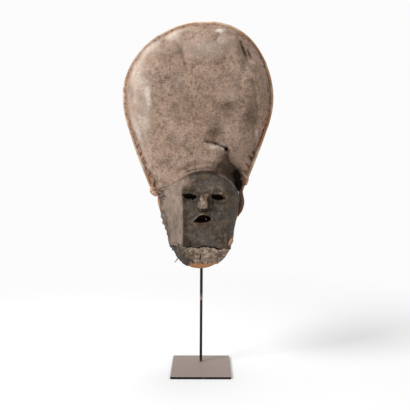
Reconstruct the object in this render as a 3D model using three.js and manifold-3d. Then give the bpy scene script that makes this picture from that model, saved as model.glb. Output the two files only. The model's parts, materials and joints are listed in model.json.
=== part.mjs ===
// A dance mask of stiffened cloth over bent cane, hung on a thin steel stand.
// Millimetres, +Z up. The mask looks towards -Y. The origin is the middle of the foot's underside.
import * as THREE from 'three';
import { mergeVertices } from 'three/addons/utils/BufferGeometryUtils.js';
import Module from 'manifold-3d';

const wasm = await Module();
wasm.setup();
const { clamp, degToRad } = THREE.MathUtils;

// Clearance between pieces that touch: cloth and cord first, then steel
const GAP = 0.4;
const FIT = 0.3;

// Stand: a square foot, a post with a pin, and a rod with a cross bar that the mask hangs on
const PLATE_SIDE = 130;
const PLATE_THICK = 5;
const PLATE_CHAMFER = 0.6;
const POST_BACK = 27;
const POST_X = -0.6;
const POST_DIA = 6;
const ROD_DIA = 6.4;
const JOINT_Z = 151;
const JOINT_CHAMFER = 0.7;
const PIN_DIA = 3;
const PIN_LENGTH = 12;
const LEAN = 0.0074;
const BAR_DIA = 5;
const BAR_HALF_ANGLE = 0.22;
const BAR_CLEARANCE = 0.6;
const ROUND_SIDES = 16;
const BAR_SIDES = 8;
const BAR_STEPS = 8;

// Crown hoop: a circle above that leans to the right and opens into two flanks below
const RIM_Y = 18;
const CANE_DIA = 9;
const CANE_SIDES = 6;
const CROWN_X = -6;
const CROWN_Z = 594;
const CROWN_R = 163;
const CROWN_DROP = degToRad(17);
const CROWN_LEAN = 14;
const CROWN_SHOULDER = 10;
const CROWN_CANE_STEPS = 48;
const LASH_Z = 397;
const FLANKS = {
  left: { sign: -1, half: 103, pullX: 133, pullZ: 466 },
  right: { sign: 1, half: 98.5, pullX: 127, pullZ: 458 },
};
const LEFT_END_Z = 388;
const SPLINT = [[92.2, 376], [88.6, 345]];

// Chin hoop: an arc under the chin with two legs that run up inside the crown hoop
const CHIN_X = -2;
const CHIN_Z = 286.5;
const CHIN_R = 64.5;
const CHIN_ARC = { from: degToRad(200), to: degToRad(340), steps: 6 };
const CHIN_LEGS = {
  left: [[-70.5, 276], [-73, 291], [-80, 318], [-95, 368], [-96, 390], [-110, 428]],
  right: [[66.5, 276], [72.5, 294], [75, 318], [84, 350], [87, 375], [83, 397], [93.5, 428]],
};
const CHIN_CANE_STEPS = 28;

// Headdress cloth
const SKIN = 3;
const RIM_INSET = 2.2;
const RIM_DEPTH = 5;
const CROWN_DEPTH = 70;
const CROWN_TURN = { band: 58, power: 2.3 };
const NECK_SLOPE = { band: 92, power: 1.5 };
const NECK_FROM = 575;
const NECK_REACH = 140;
const BELLY = 6;
const BELLY_REACH = 170;
const CLOTH_RINGS = 12;
const CLOTH_SPOKES = 72;
const CLOTH_MIDDLE = new THREE.Vector2(CROWN_X, CROWN_Z - 10);

// The rip above the face steps down to the right: its lower lip stands up, its upper side is sunk
const RIP = { fromX: 8, toX: 60, fromZ: 500, toZ: 483, lift: 4, sink: 3, spread: 12 };

// Furrows along lines of points [x, z, depth, half width]
const FURROWS = [
  [[54, 486, 5, 9], [60, 462, 7, 11], [74, 443, 10, 14], [90, 420, 13, 20]],
  [[83, 704, 5, 9], [92, 680, 8, 9], [96, 664, 4, 10], [88, 640, 1, 12]],
  [[-73, 718, 4, 8], [-73, 690, 2, 9]],
  [[-50, 706, 3, 9], [-35, 684, 4, 10], [-26, 648, 1, 11]],
  [[106, 634, 3, 12], [117, 560, 3, 12], [104, 500, 3, 14]],
  [[-60, 430, 2, 10], [-14, 451, 5, 10], [30, 452, 5, 10], [64, 436, 8, 12]],
];

// Face: a flat front, a flat left cheek, a round right cheek and an arched brow
const FACE_WALL = 4;
const FACE_DEPTH = 100;
const FACE_CROWN = 3;
const FACE_MIDDLE_X = 8;
const ARCH_X = 8;
const ARCH_Z = 375;
const ARCH_HALF = 75;
const ARCH_RISE = 68;
const ARCH_RIGHT_END = degToRad(8.4);
const SHOULDER_X = -49;
const SHOULDER_SLOPE = 0.448;
const RIDGE_X = -37;
const TURN_X = 56;
const SEAM_Z = 290;
const SEAM_HALF = 68;
const SEAM_CRACK = 1.2;
const SEAM_FIT = 0.2;
const LEFT_BORDER = [[-69, 275], [-77, 316], [-88, 355], [-106, 393]];
const RIGHT_BORDER = [[64.5, 277], [73, 316], [78, 345], [83, 375]];
const LEFT_COLUMNS = 5;
const FRONT_COLUMNS = 10;
const RIGHT_COLUMNS = 5;
const FACE_ROWS = 16;
const FOREHEAD_FROM = 0.68;
const BROW_ROLL = { z: 411, half: 9, rise: 2.5 };

// Eyes, mouth and nose. A wall closes each pit behind.
const EYES = [
  { x: -21, z: 391.5, half: 14, high: 5.8, tilt: -0.1 },
  { x: 36, z: 390, half: 13.5, high: 6.2, tilt: -0.2 },
];
const EYE_HOLLOW = { depth: 6, across: 17, up: 11 };
const EYE_LIP_DEPTH = 95;
const MOUTH = { x: 7, z: 346, left: -12, right: 26, below: 20, above: 22 };
const MOUTH_FULL = { rise: 4, across: 26, up: 18 };
const MOUTH_LIP_DEPTH = 104;
const LIP_WIDTH = 5;
const LIP_FRONT = 111;
const PIT_FLOOR = 84;
const FLOOR_THICK = 4;

// Lumps of resin and crumbs pressed together: [x, z, depth, half sizes across, deep, up]
const NOSE_LUMPS = [
  [8, 388, 109, 7, 7, 13],
  [8, 374, 112, 11, 10, 10],
  [-1, 371, 108, 6, 7, 6],
  [18, 371, 108, 6, 7, 6],
];

// Chin cloth
const CHIN_ROWS = 6;
const CHIN_BULGE = 2.5;
// The part of the chin hoop that the cloth goes round, in spans between the points of its line
const CHIN_SPANS = 18;
const CHIN_FROM = 5.35;
const CHIN_TO = 11.65;
const CHIN_TEAR = [[-2, 278], [1.6, 264], [1, 250], [-1.4, 264]];

// Lashings and the loose stick end
const LASHINGS = {
  left: { centre: [-99, 17, 396], radii: [13, 10.5, 13], phase: 0.6 },
  right: { centre: [91.5, 16, 418], radii: [12.5, 10, 12], phase: 2.1 },
};
const TWIG = { from: [-51.6, 17, 244.6], to: [-58, 14, 236], thick: 3, tip: 1.8, sides: 8 };

// Far bounds of the shapes that only cut
const FAR_SIDE = 150;
const FAR_FRONT = 160;
const FAR_BACK = -30;

const smooth = (t) => {
  const k = clamp(t, 0, 1);
  return k * k * (3 - 2 * k);
};
const mix = (a, b, t) => a + (b - a) * t;
const hill = (t) => Math.exp(-t * t);

// A point of the mask: x across, z up, and how far it stands in front of the canes' plane
const place = (x, z, depth) => new THREE.Vector3(x, RIM_Y - depth, z);
const flatPoint = ([x, z]) => new THREE.Vector2(x, z);

// Solids

function solidFrom(geometry) {
  let clean = geometry.clone();
  clean.deleteAttribute('normal');
  clean.deleteAttribute('uv');
  clean = mergeVertices(clean, 1e-4);
  const index = clean.index.array;
  const kept = [];
  for (let i = 0; i < index.length; i += 3) {
    const [a, b, c] = [index[i], index[i + 1], index[i + 2]];
    if (a !== b && b !== c && c !== a) kept.push(a, b, c);
  }
  const mesh = new wasm.Mesh({
    numProp: 3,
    vertProperties: new Float32Array(clean.attributes.position.array),
    triVerts: new Uint32Array(kept),
  });
  return new wasm.Manifold(mesh);
}

function geometryOf(solid) {
  const mesh = solid.getMesh();
  const geometry = new THREE.BufferGeometry();
  geometry.setAttribute('position', new THREE.BufferAttribute(new Float32Array(mesh.vertProperties), 3));
  geometry.setIndex(new THREE.BufferAttribute(new Uint32Array(mesh.triVerts), 1));
  geometry.computeVertexNormals();
  return geometry;
}

// Triangles of a grid of points whose rows run up and whose columns run to the right
function gridTriangles(rows, out, flip) {
  for (let r = 0; r + 1 < rows.length; r += 1) {
    for (let c = 0; c + 1 < rows[r].length; c += 1) {
      const [a, b, d, e] = [rows[r][c], rows[r][c + 1], rows[r + 1][c + 1], rows[r + 1][c]];
      if (flip) out.push(a, d, b, a, e, d);
      else out.push(a, b, d, a, d, e);
    }
  }
}

// The unit normal of each grid point, from its neighbours
function gridNormals(rows, closed) {
  const last = rows.length - 1;
  return rows.map((row, r) => row.map((point, c) => {
    const end = row.length - 1;
    const before = closed && c === 0 ? row[end - 1] : row[Math.max(c - 1, 0)];
    const after = closed && c === end ? row[1] : row[Math.min(c + 1, end)];
    const below = rows[Math.max(r - 1, 0)][c];
    const above = rows[Math.min(r + 1, last)][c];
    const across = after.clone().sub(before);
    const up = above.clone().sub(below);
    return across.cross(up).normalize();
  }));
}

// A wall of even thickness behind a grid. An edge that rests on the cane keeps its place along y,
// and an edge at the seam keeps its height z: lockedAxis names that axis, or nothing.
function innerGrid(rows, thickness, closed, lockedAxis) {
  const normals = gridNormals(rows, closed);
  return rows.map((row, r) => row.map((point, c) => {
    const normal = normals[r][c];
    const axis = lockedAxis(r, c);
    if (axis) normal[axis] = 0;
    return point.clone().addScaledVector(normal.normalize(), -thickness);
  }));
}

// Joins the front grid and the back grid round their edges into one closed skin
function shellSolid(front, back, closed) {
  const triangles = [];
  gridTriangles(front, triangles, false);
  gridTriangles(back, triangles, true);
  const last = front.length - 1;
  const wide = front[0].length - 1;
  const side = (a, b, c, d) => triangles.push(b, a, c, b, c, d);
  for (let c = 0; c < wide; c += 1) {
    side(front[0][c], front[0][c + 1], back[0][c], back[0][c + 1]);
    side(front[last][c + 1], front[last][c], back[last][c + 1], back[last][c]);
  }
  if (!closed) {
    for (let r = 0; r < last; r += 1) {
      side(front[r + 1][0], front[r][0], back[r + 1][0], back[r][0]);
      side(front[r][wide], front[r + 1][wide], back[r][wide], back[r + 1][wide]);
    }
  }
  return solidFrom(new THREE.BufferGeometry().setFromPoints(triangles));
}

// A prism along Y from a flat outline drawn in X and Z, between two depths
function prism(shape, frontDepth, backDepth) {
  const geometry = new THREE.ExtrudeGeometry(shape, {
    depth: frontDepth - backDepth, bevelEnabled: false, curveSegments: 7,
  });
  geometry.rotateX(Math.PI / 2);
  geometry.translate(0, RIM_Y - backDepth, 0);
  return solidFrom(geometry);
}

function tube(curve, diameter, steps, sides) {
  const section = new THREE.Shape();
  section.absarc(0, 0, diameter / 2, 0, 2 * Math.PI);
  const corners = new THREE.Shape(section.getPoints(sides / 2).slice(0, -1));
  return new THREE.ExtrudeGeometry(corners, { steps, extrudePath: curve, bevelEnabled: false });
}

// A knotted lump: a ball whose radius swells and dips a little all round
function lump([cx, cy, cz], [rx, ry, rz], grow, phase) {
  const ball = new THREE.SphereGeometry(1, 11, 7);
  const at = ball.attributes.position;
  for (let i = 0; i < at.count; i += 1) {
    const [x, y, z] = [at.getX(i), at.getY(i), at.getZ(i)];
    const swell = 1 + 0.09 * Math.sin(5 * z + phase) * Math.cos(4 * x - phase) + 0.05 * Math.sin(7 * y);
    at.setXYZ(i, cx + x * (rx * swell + grow), cy + y * (ry * swell + grow), cz + z * (rz * swell + grow));
  }
  return solidFrom(ball);
}

// Outline of the mask, seen from the front

// Moves a point of the crown to the right, by the cube of how high it lies round the circle, and
// lifts the right shoulder
function leanTop(point) {
  const reach = Math.hypot(point.x - CROWN_X, point.y - CROWN_Z);
  const upright = Math.max(0, (point.y - CROWN_Z) / reach);
  const rightward = Math.max(0, (point.x - CROWN_X) / reach);
  return new THREE.Vector2(
    point.x + CROWN_LEAN * upright ** 3,
    point.y + CROWN_SHOULDER * rightward * upright ** 2,
  );
}

// Points of one half of the crown's outline, from the top down to the lashing
function crownPoints({ sign, half, pullX, pullZ }, inset, count) {
  const radius = CROWN_R - inset;
  const dropEnd = sign > 0 ? -CROWN_DROP : Math.PI + CROWN_DROP;
  const turn = new THREE.EllipseCurve(CROWN_X, CROWN_Z, radius, radius, Math.PI / 2, dropEnd, sign > 0, 0);
  const beside = (x, z) => new THREE.Vector2(CROWN_X + sign * (x - inset), z);
  const path = new THREE.CurvePath();
  path.add(turn);
  path.add(new THREE.QuadraticBezierCurve(turn.getPoint(1), beside(pullX, pullZ), beside(half, LASH_Z)));
  return path.getSpacedPoints(count).map(leanTop);
}

// The chin hoop's line, from the top of its left leg round to the top of its right leg
function chinLine(inset) {
  const legPoints = (leg, sign) => leg.map(([x, z]) => new THREE.Vector2(x - sign * inset, z));
  const left = legPoints(CHIN_LEGS.left, -1).reverse();
  const right = legPoints(CHIN_LEGS.right, 1);
  const radius = CHIN_R - inset;
  const arc = [];
  for (let i = 0; i <= CHIN_ARC.steps; i += 1) {
    const angle = mix(CHIN_ARC.from, CHIN_ARC.to, i / CHIN_ARC.steps);
    arc.push(new THREE.Vector2(CHIN_X + radius * Math.cos(angle), CHIN_Z + radius * Math.sin(angle)));
  }
  return new THREE.SplineCurve([...left, ...arc, ...right]);
}

// Whole outline as a closed ring of points, for the cloth's edge
function pearOutline(inset) {
  const right = crownPoints(FLANKS.right, inset, 90);
  const left = crownPoints(FLANKS.left, inset, 90).reverse();
  const chin = chinLine(inset).getSpacedPoints(120).filter((p) => p.y < LASH_Z - 8);
  return [...right, ...chin.reverse(), ...left];
}

// How far the outline is from the middle of the headdress in one direction, and how squarely the
// outline crosses that direction
function spokeTo(outline, angle) {
  const dir = new THREE.Vector2(Math.cos(angle), Math.sin(angle));
  let best = { reach: 0, lean: 1 };
  for (let i = 0; i < outline.length; i += 1) {
    const a = outline[i].clone().sub(CLOTH_MIDDLE);
    const edge = outline[(i + 1) % outline.length].clone().sub(outline[i]);
    const across = dir.cross(edge);
    if (Math.abs(across) < 1e-9) continue;
    const reach = a.cross(edge) / across;
    const along = a.cross(dir) / across;
    if (reach > best.reach && along >= 0 && along <= 1) {
      best = { reach, lean: Math.abs(across) / edge.length() };
    }
  }
  return best;
}

// Headdress cloth

const clothEdge = pearOutline(RIM_INSET);

// Depth that the furrows take away at a place: each is deepest on its line and fades beside it
function furrowDepth(x, z) {
  let sum = 0;
  for (const line of FURROWS) {
    let deepest = 0;
    for (let i = 0; i + 1 < line.length; i += 1) {
      const [ax, az, ad, aw] = line[i];
      const [bx, bz, bd, bw] = line[i + 1];
      const length2 = (bx - ax) ** 2 + (bz - az) ** 2;
      const t = clamp(((x - ax) * (bx - ax) + (z - az) * (bz - az)) / length2, 0, 1);
      const away = Math.hypot(x - mix(ax, bx, t), z - mix(az, bz, t)) / mix(aw, bw, t);
      deepest = Math.max(deepest, mix(ad, bd, t) * hill(away));
    }
    sum += deepest;
  }
  return sum;
}

// The step at the rip: up on its lower side, down on its upper side, and fading away from it
function ripStep(x, z) {
  const t = (x - RIP.fromX) / (RIP.toX - RIP.fromX);
  const above = z - mix(RIP.fromZ, RIP.toZ, t * t);
  const within = smooth(4 * t) * smooth(6 * (1 - t));
  const fade = within * Math.exp(-Math.abs(above) / RIP.spread);
  return above > 0 ? -RIP.sink * fade : RIP.lift * fade;
}

// How far the cloth stands in front of the cane, from the distance to its edge. Up on the crown it
// turns sharply into a flat front, and down by the face it slopes in over a wide band.
function crownDepth(x, z, toEdge) {
  const neck = smooth((NECK_FROM - z) / NECK_REACH);
  const band = mix(CROWN_TURN.band, NECK_SLOPE.band, neck);
  const power = mix(CROWN_TURN.power, NECK_SLOPE.power, neck);
  const t = 1 - Math.min(toEdge / band, 1);
  const rise = (1 - t ** power) ** (1 / power);
  const away = Math.hypot(x - CROWN_X, z - CROWN_Z) / BELLY_REACH;
  const belly = BELLY * Math.max(0, 1 - away * away);
  const sunk = furrowDepth(x, z) * smooth(toEdge / 14) - ripStep(x, z);
  return RIM_DEPTH + (CROWN_DEPTH - RIM_DEPTH) * rise + belly * rise - sunk;
}

// Depth of the headdress cloth at any place on it
function clothDepthAt(x, z) {
  const offset = new THREE.Vector2(x, z).sub(CLOTH_MIDDLE);
  const { reach, lean } = spokeTo(clothEdge, offset.angle());
  return crownDepth(x, z, Math.max(0, reach - offset.length()) * lean);
}

// Rings of points from the cane in to the middle, which every spoke meets
function headdressShell() {
  const rows = Array.from({ length: CLOTH_RINGS + 1 }, () => []);
  for (let c = 0; c <= CLOTH_SPOKES; c += 1) {
    const angle = (2 * Math.PI * (c % CLOTH_SPOKES)) / CLOTH_SPOKES;
    const { reach, lean } = spokeTo(clothEdge, angle);
    for (let r = 0; r <= CLOTH_RINGS; r += 1) {
      const left = 1 - r / CLOTH_RINGS;
      const share = mix(left, Math.sin((Math.PI / 2) * left), 0.35);
      const x = CLOTH_MIDDLE.x + Math.cos(angle) * reach * share;
      const z = CLOTH_MIDDLE.y + Math.sin(angle) * reach * share;
      rows[r][c] = place(x, z, crownDepth(x, z, (1 - share) * reach * lean));
    }
  }
  const back = innerGrid(rows, SKIN, true, (r) => (r === 0 ? 'y' : ''));
  const pole = rows[CLOTH_RINGS][0];
  back[CLOTH_RINGS] = back[CLOTH_RINGS].map(() => pole.clone().setY(pole.y + SKIN));
  return shellSolid(rows, back, true);
}

// Face

// The border where the face stands out of the headdress: a straight left shoulder, then an arch
function archTop(x) {
  const across = Math.max(x - ARCH_X, SHOULDER_X - ARCH_X) / ARCH_HALF;
  const height = ARCH_Z + ARCH_RISE * Math.sqrt(Math.max(0, 1 - across * across));
  return height + SHOULDER_SLOPE * Math.min(0, x - SHOULDER_X);
}

// The ragged seam between face and chin cloth, lower towards both sides
const seamHeight = (x) => SEAM_Z - 15 * (x / SEAM_HALF) ** 4 + 2 * Math.sin(x / 8) + Math.sin(x / 3.7);

const leftBorder = new THREE.SplineCurve(LEFT_BORDER.map(flatPoint));
const rightBorder = new THREE.SplineCurve(RIGHT_BORDER.map(flatPoint));

// Depth of the arch's edge: let into the headdress at the left and above, free at the right
function archDepth(x, z) {
  const free = mix(66, 36, smooth((x - 40) / 43));
  const lapped = clothDepthAt(x, z) - SKIN / 2;
  return mix(lapped, free, smooth((x - 34) / 16));
}

// Front of the face: flat, a little hollow round each eye, full over the mouth
function frontDepth(x, z) {
  let depth = FACE_DEPTH + FACE_CROWN * Math.cos((x - FACE_MIDDLE_X) / 34);
  for (const eye of EYES) {
    depth -= EYE_HOLLOW.depth * hill((x - eye.x) / EYE_HOLLOW.across) * hill((z - eye.z) / EYE_HOLLOW.up);
  }
  depth += MOUTH_FULL.rise * hill((x - MOUTH.x) / MOUTH_FULL.across) * hill((z - MOUTH.z) / MOUTH_FULL.up);
  return depth + BROW_ROLL.rise * hill((z - BROW_ROLL.z) / BROW_ROLL.half);
}

// Rounds the forehead back to the arch: 1 on the front, falling to 0 at the border
function foreheadRise(v) {
  const t = Math.max(0, (v - FOREHEAD_FROM) / (1 - FOREHEAD_FROM));
  return Math.sqrt(Math.max(0, 1 - t * t));
}

// The columns of the face from left to right. Each has its foot on the seam, its head on the arch,
// how much of a side border's bend it takes, and its share of the front's depth.
function faceColumns() {
  const columns = [];
  for (let i = 0; i < LEFT_COLUMNS; i += 1) {
    const t = 1 - i / LEFT_COLUMNS;
    const foot = mix(RIDGE_X, leftBorder.getPoint(0).x, t);
    const head = mix(RIDGE_X, leftBorder.getPoint(1).x, t);
    columns.push({ foot, head, border: leftBorder, pull: t, depthShare: 1 - t });
  }
  for (let i = 0; i <= FRONT_COLUMNS; i += 1) {
    const x = mix(RIDGE_X, TURN_X, i / FRONT_COLUMNS);
    columns.push({ foot: x, head: x, border: leftBorder, pull: 0, depthShare: 1 });
  }
  const turnAngle = Math.acos((TURN_X - ARCH_X) / ARCH_HALF);
  for (let i = 1; i <= RIGHT_COLUMNS; i += 1) {
    const t = i / RIGHT_COLUMNS;
    const pull = Math.sin((t * Math.PI) / 2);
    const foot = mix(TURN_X, rightBorder.getPoint(0).x, pull);
    const head = ARCH_X + ARCH_HALF * Math.cos(turnAngle * (1 - t));
    columns.push({ foot, head, border: rightBorder, pull, depthShare: Math.cos((t * Math.PI) / 2) });
  }
  return columns;
}

function facePoint({ foot, head, border, pull, depthShare }, v) {
  const from = new THREE.Vector2(foot, seamHeight(foot));
  const to = new THREE.Vector2(head, archTop(head));
  const bend = border.getPoint(v).sub(border.getPoint(0).lerp(border.getPoint(1), v));
  const at = from.lerp(to, v).addScaledVector(bend, pull);
  const freeEdge = archDepth(to.x, to.y);
  const onCane = border === rightBorder ? smooth((v - 0.7) / 0.3) : 0;
  const side = mix(RIM_DEPTH, freeEdge, onCane);
  const full = mix(side, frontDepth(Math.max(at.x, RIDGE_X), at.y), depthShare);
  return place(at.x, at.y, mix(freeEdge, full, foreheadRise(v)));
}

function faceRows() {
  const rows = [];
  for (let r = 0; r <= FACE_ROWS; r += 1) {
    const k = r / FACE_ROWS;
    const v = mix(k, Math.sin((k * Math.PI) / 2), 0.5);
    rows.push(faceColumns().map((column) => facePoint(column, v)));
  }
  return rows;
}

function mouthShape(grow) {
  const left = new THREE.Vector2(MOUTH.left - grow, MOUTH.z);
  const right = new THREE.Vector2(MOUTH.right + grow, MOUTH.z - 1);
  const spread = 1.6 * grow;
  const shape = new THREE.Shape();
  shape.moveTo(left.x, left.y);
  shape.quadraticCurveTo(MOUTH.x + 2, MOUTH.z - MOUTH.below - spread, right.x, right.y);
  shape.quadraticCurveTo(MOUTH.x + 5, MOUTH.z + MOUTH.above + spread, left.x, left.y);
  return shape;
}

function eyeShape(eye, grow) {
  const shape = new THREE.Shape();
  shape.absellipse(eye.x, eye.z, eye.half + grow, eye.high + grow, 0, 2 * Math.PI, false, eye.tilt);
  return shape;
}

// Adds the cup behind an opening, then cuts the opening down to the cup's floor. The cup's lip is
// let into the wall at lipDepth.
function withPit(face, shapeOf, lipDepth) {
  const cup = prism(shapeOf(FACE_WALL), lipDepth, PIT_FLOOR - FLOOR_THICK);
  const hole = prism(shapeOf(0), FAR_FRONT, PIT_FLOOR);
  return face.add(cup).subtract(hole);
}

function faceSolid() {
  const rows = faceRows();
  const wide = rows[0].length - 1;
  const back = innerGrid(rows, FACE_WALL, false, (r, c) => {
    if (c === 0 || (c === wide && r < FACE_ROWS * 0.7)) return 'y';
    return r === 0 ? 'z' : '';
  });
  let face = shellSolid(rows, back, false);
  for (const [x, z, depth, across, deep, up] of NOSE_LUMPS) {
    face = face.add(lump([x, RIM_Y - depth, z], [across, deep, up], 0, x));
  }
  for (const eye of EYES) face = withPit(face, (grow) => eyeShape(eye, grow), EYE_LIP_DEPTH);
  const lips = prism(mouthShape(LIP_WIDTH), LIP_FRONT, FACE_DEPTH + 2);
  return withPit(face.add(lips), mouthShape, MOUTH_LIP_DEPTH);
}

// Chin cloth: from the seam down round the chin to its hoop, a quarter round in section
function chinShell() {
  const line = chinLine(RIM_INSET);
  const seam = faceColumns().map((column) => facePoint(column, 0));
  const total = seam.length - 1;
  const rows = [];
  for (let r = 0; r <= CHIN_ROWS; r += 1) {
    const angle = ((1 - r / CHIN_ROWS) * Math.PI) / 2;
    rows.push(seam.map((top, c) => {
      const foot = line.getPoint(mix(CHIN_FROM, CHIN_TO, c / total) / CHIN_SPANS);
      const topDepth = RIM_Y - top.y;
      const bulge = CHIN_BULGE * Math.sin(2 * angle) * smooth((topDepth - RIM_DEPTH) / 60);
      const x = mix(top.x, foot.x, Math.sin(angle));
      const z = mix(top.z - SEAM_CRACK, foot.y, Math.sin(angle));
      return place(x, z, mix(RIM_DEPTH, topDepth, Math.cos(angle)) + bulge);
    }));
  }
  const back = innerGrid(rows, FACE_WALL, false, (r, c) => {
    if (r === 0 || c === 0 || c === total) return 'y';
    return r === CHIN_ROWS ? 'z' : '';
  });
  return shellSolid(rows, back, false);
}

const chinTear = () => prism(new THREE.Shape(CHIN_TEAR.map(flatPoint)), FAR_FRONT, FACE_DEPTH - 60);

// All that lies on one side of the seam's line, to trim the face and the chin cloth to it
function seamSide(limit, shift) {
  const region = new THREE.Shape();
  region.moveTo(-SEAM_HALF - 20, limit);
  for (let x = -SEAM_HALF - 1; x <= SEAM_HALF + 2; x += 5) region.lineTo(x, seamHeight(x) + shift);
  region.lineTo(SEAM_HALF + 20, limit);
  return prism(region, FAR_FRONT, FAR_BACK);
}

// Everything below the arch belongs to the face, so the headdress is cut away there. At the right
// the cut turns down round the end of the arch, and the cloth stays beside the cheek.
function faceRegion() {
  const floor = 190;
  const halfAcross = ARCH_HALF + GAP;
  const rise = ARCH_RISE + GAP;
  const region = new THREE.Shape();
  region.moveTo(-FAR_SIDE, floor);
  region.lineTo(-FAR_SIDE, archTop(-FAR_SIDE) + GAP);
  for (let x = -108; x < ARCH_X; x += 6) region.lineTo(x, archTop(x) + GAP * 1.3);
  for (let i = 0; i <= 16; i += 1) {
    const angle = mix(Math.PI / 2, ARCH_RIGHT_END, i / 16);
    region.lineTo(ARCH_X + halfAcross * Math.cos(angle), ARCH_Z + rise * Math.sin(angle));
  }
  region.lineTo(FAR_SIDE, ARCH_Z + rise * Math.sin(ARCH_RIGHT_END));
  region.lineTo(FAR_SIDE, floor);
  return prism(region, FAR_FRONT, FAR_BACK);
}

// Canes

class CaneLine extends THREE.Curve {
  constructor(flat) {
    super();
    this.flat = flat;
  }

  getPoint(t) {
    const p = this.flat.getPoint(t);
    return new THREE.Vector3(p.x, RIM_Y, p.y);
  }
}

function crownCaneLine() {
  const right = crownPoints(FLANKS.right, CANE_DIA / 2, 18);
  const left = crownPoints(FLANKS.left, CANE_DIA / 2, 18).reverse();
  const leftEnd = new THREE.Vector2(left[0].x + 2, LEFT_END_Z);
  return new CaneLine(new THREE.SplineCurve(
    [leftEnd, ...left.slice(0, -1), ...right, ...SPLINT.map(flatPoint)],
  ));
}

const crownCane = (diameter) => tube(crownCaneLine(), diameter, CROWN_CANE_STEPS, CANE_SIDES);
const chinCane = (diameter) => tube(
  new CaneLine(chinLine(CANE_DIA / 2)), diameter, CHIN_CANE_STEPS, CANE_SIDES,
);

const lashing = ({ centre, radii, phase }, grow) => lump(centre, radii, grow, phase);

// The stick end that pokes out beside the chin
function looseTwig() {
  const from = new THREE.Vector3(...TWIG.from);
  const to = new THREE.Vector3(...TWIG.to);
  const stick = new THREE.CylinderGeometry(TWIG.tip / 2, TWIG.thick / 2, from.distanceTo(to), TWIG.sides);
  const turn = new THREE.Quaternion().setFromUnitVectors(
    new THREE.Vector3(0, 1, 0), to.clone().sub(from).normalize(),
  );
  const middle = from.lerp(to, 0.5);
  return stick.applyQuaternion(turn).translate(middle.x, middle.y, middle.z);
}

// Stand

function basePlate() {
  const half = PLATE_SIDE / 2 - PLATE_CHAMFER;
  const outline = new THREE.Shape();
  outline.moveTo(-half, -half);
  outline.lineTo(half, -half);
  outline.lineTo(half, half);
  outline.lineTo(-half, half);
  const geometry = new THREE.ExtrudeGeometry(outline, {
    depth: PLATE_THICK - 2 * PLATE_CHAMFER,
    bevelThickness: PLATE_CHAMFER,
    bevelSize: PLATE_CHAMFER,
    bevelSegments: 1,
  });
  return geometry.translate(0, 0, PLATE_CHAMFER);
}

// A turned piece of the stand from its profile [radius, height], leaning a little to the right
// about the foot of the post
function turnedAndLeaning(profile) {
  const lathe = new THREE.LatheGeometry(profile.map(flatPoint), ROUND_SIDES);
  return lathe.rotateX(Math.PI / 2).rotateY(LEAN).translate(POST_X, POST_BACK, PLATE_THICK + FIT);
}

const POST_TOP = JOINT_Z - PLATE_THICK - FIT;

function lowerPost() {
  const radius = POST_DIA / 2;
  const pin = PIN_DIA / 2;
  return turnedAndLeaning([
    [0, 0], [radius, 0], [radius, POST_TOP - JOINT_CHAMFER], [radius - JOINT_CHAMFER, POST_TOP],
    [pin, POST_TOP], [pin, POST_TOP + PIN_LENGTH], [0, POST_TOP + PIN_LENGTH],
  ]);
}

const BAR_RADIUS = CROWN_R - CANE_DIA - BAR_DIA / 2 - BAR_CLEARANCE;
const ROD_TOP_X = POST_X + LEAN * (CROWN_Z + BAR_RADIUS);
const BAR_TURN = Math.asin((CROWN_X + CROWN_LEAN - ROD_TOP_X) / BAR_RADIUS);
const BAR_Z = CROWN_Z + BAR_RADIUS * Math.cos(BAR_TURN);

// The cross bar follows the inside of the crown hoop, which hangs on it
class BarLine extends THREE.Curve {
  getPoint(t) {
    const angle = Math.PI / 2 + BAR_TURN + mix(BAR_HALF_ANGLE, -BAR_HALF_ANGLE, t);
    const flat = leanTop(new THREE.Vector2(
      CROWN_X + BAR_RADIUS * Math.cos(angle), CROWN_Z + BAR_RADIUS * Math.sin(angle),
    ));
    return new THREE.Vector3(flat.x, RIM_Y, flat.y);
  }
}

// The rod is bored for the post's pin. An arm at its top runs forward to the cross bar.
function hangingRod() {
  const radius = ROD_DIA / 2;
  const bore = PIN_DIA / 2 + FIT;
  const foot = POST_TOP + FIT;
  const boreTop = foot + PIN_LENGTH + FIT;
  const top = BAR_Z - PLATE_THICK;
  const rod = solidFrom(turnedAndLeaning([
    [0, boreTop], [bore, boreTop], [bore, foot], [radius - JOINT_CHAMFER, foot],
    [radius, foot + JOINT_CHAMFER], [radius, top - JOINT_CHAMFER], [radius - JOINT_CHAMFER, top], [0, top],
  ]));
  const reach = POST_BACK - RIM_Y;
  const arm = new THREE.CylinderGeometry(BAR_DIA / 2, BAR_DIA / 2, reach, BAR_SIDES);
  arm.translate(ROD_TOP_X, RIM_Y + reach / 2, BAR_Z);
  const bar = tube(new BarLine(), BAR_DIA, BAR_STEPS, BAR_SIDES);
  return rod.add(solidFrom(arm)).add(solidFrom(bar));
}

// Assembly

// The biggest single body of a cut solid, so that no loose crumb is left beside it
function largest(solid) {
  const bodies = solid.decompose();
  return bodies.reduce((best, body) => (body.volume() > best.volume() ? body : best));
}

const cutBy = (solid, cutters) => largest(cutters.reduce((left, cutter) => left.subtract(cutter), solid));

const finish = (color, roughness, metalness) => new THREE.MeshStandardMaterial({
  color, roughness, metalness,
});
const CLOTH = finish(0x9a877b, 0.9, 0);
const DARK_CLOTH = finish(0x675c55, 0.85, 0);
const PALE_CLOTH = finish(0x8f8075, 0.9, 0);
const CANE = finish(0xb58a62, 0.7, 0);
const KNOT = finish(0xa88a76, 0.9, 0);
const STEEL = finish(0x4a4341, 0.45, 0.6);

const part = new THREE.Group();
function addPiece(name, geometry, material) {
  const mesh = new THREE.Mesh(geometry, material.clone());
  mesh.name = name;
  part.add(mesh);
}

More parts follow.
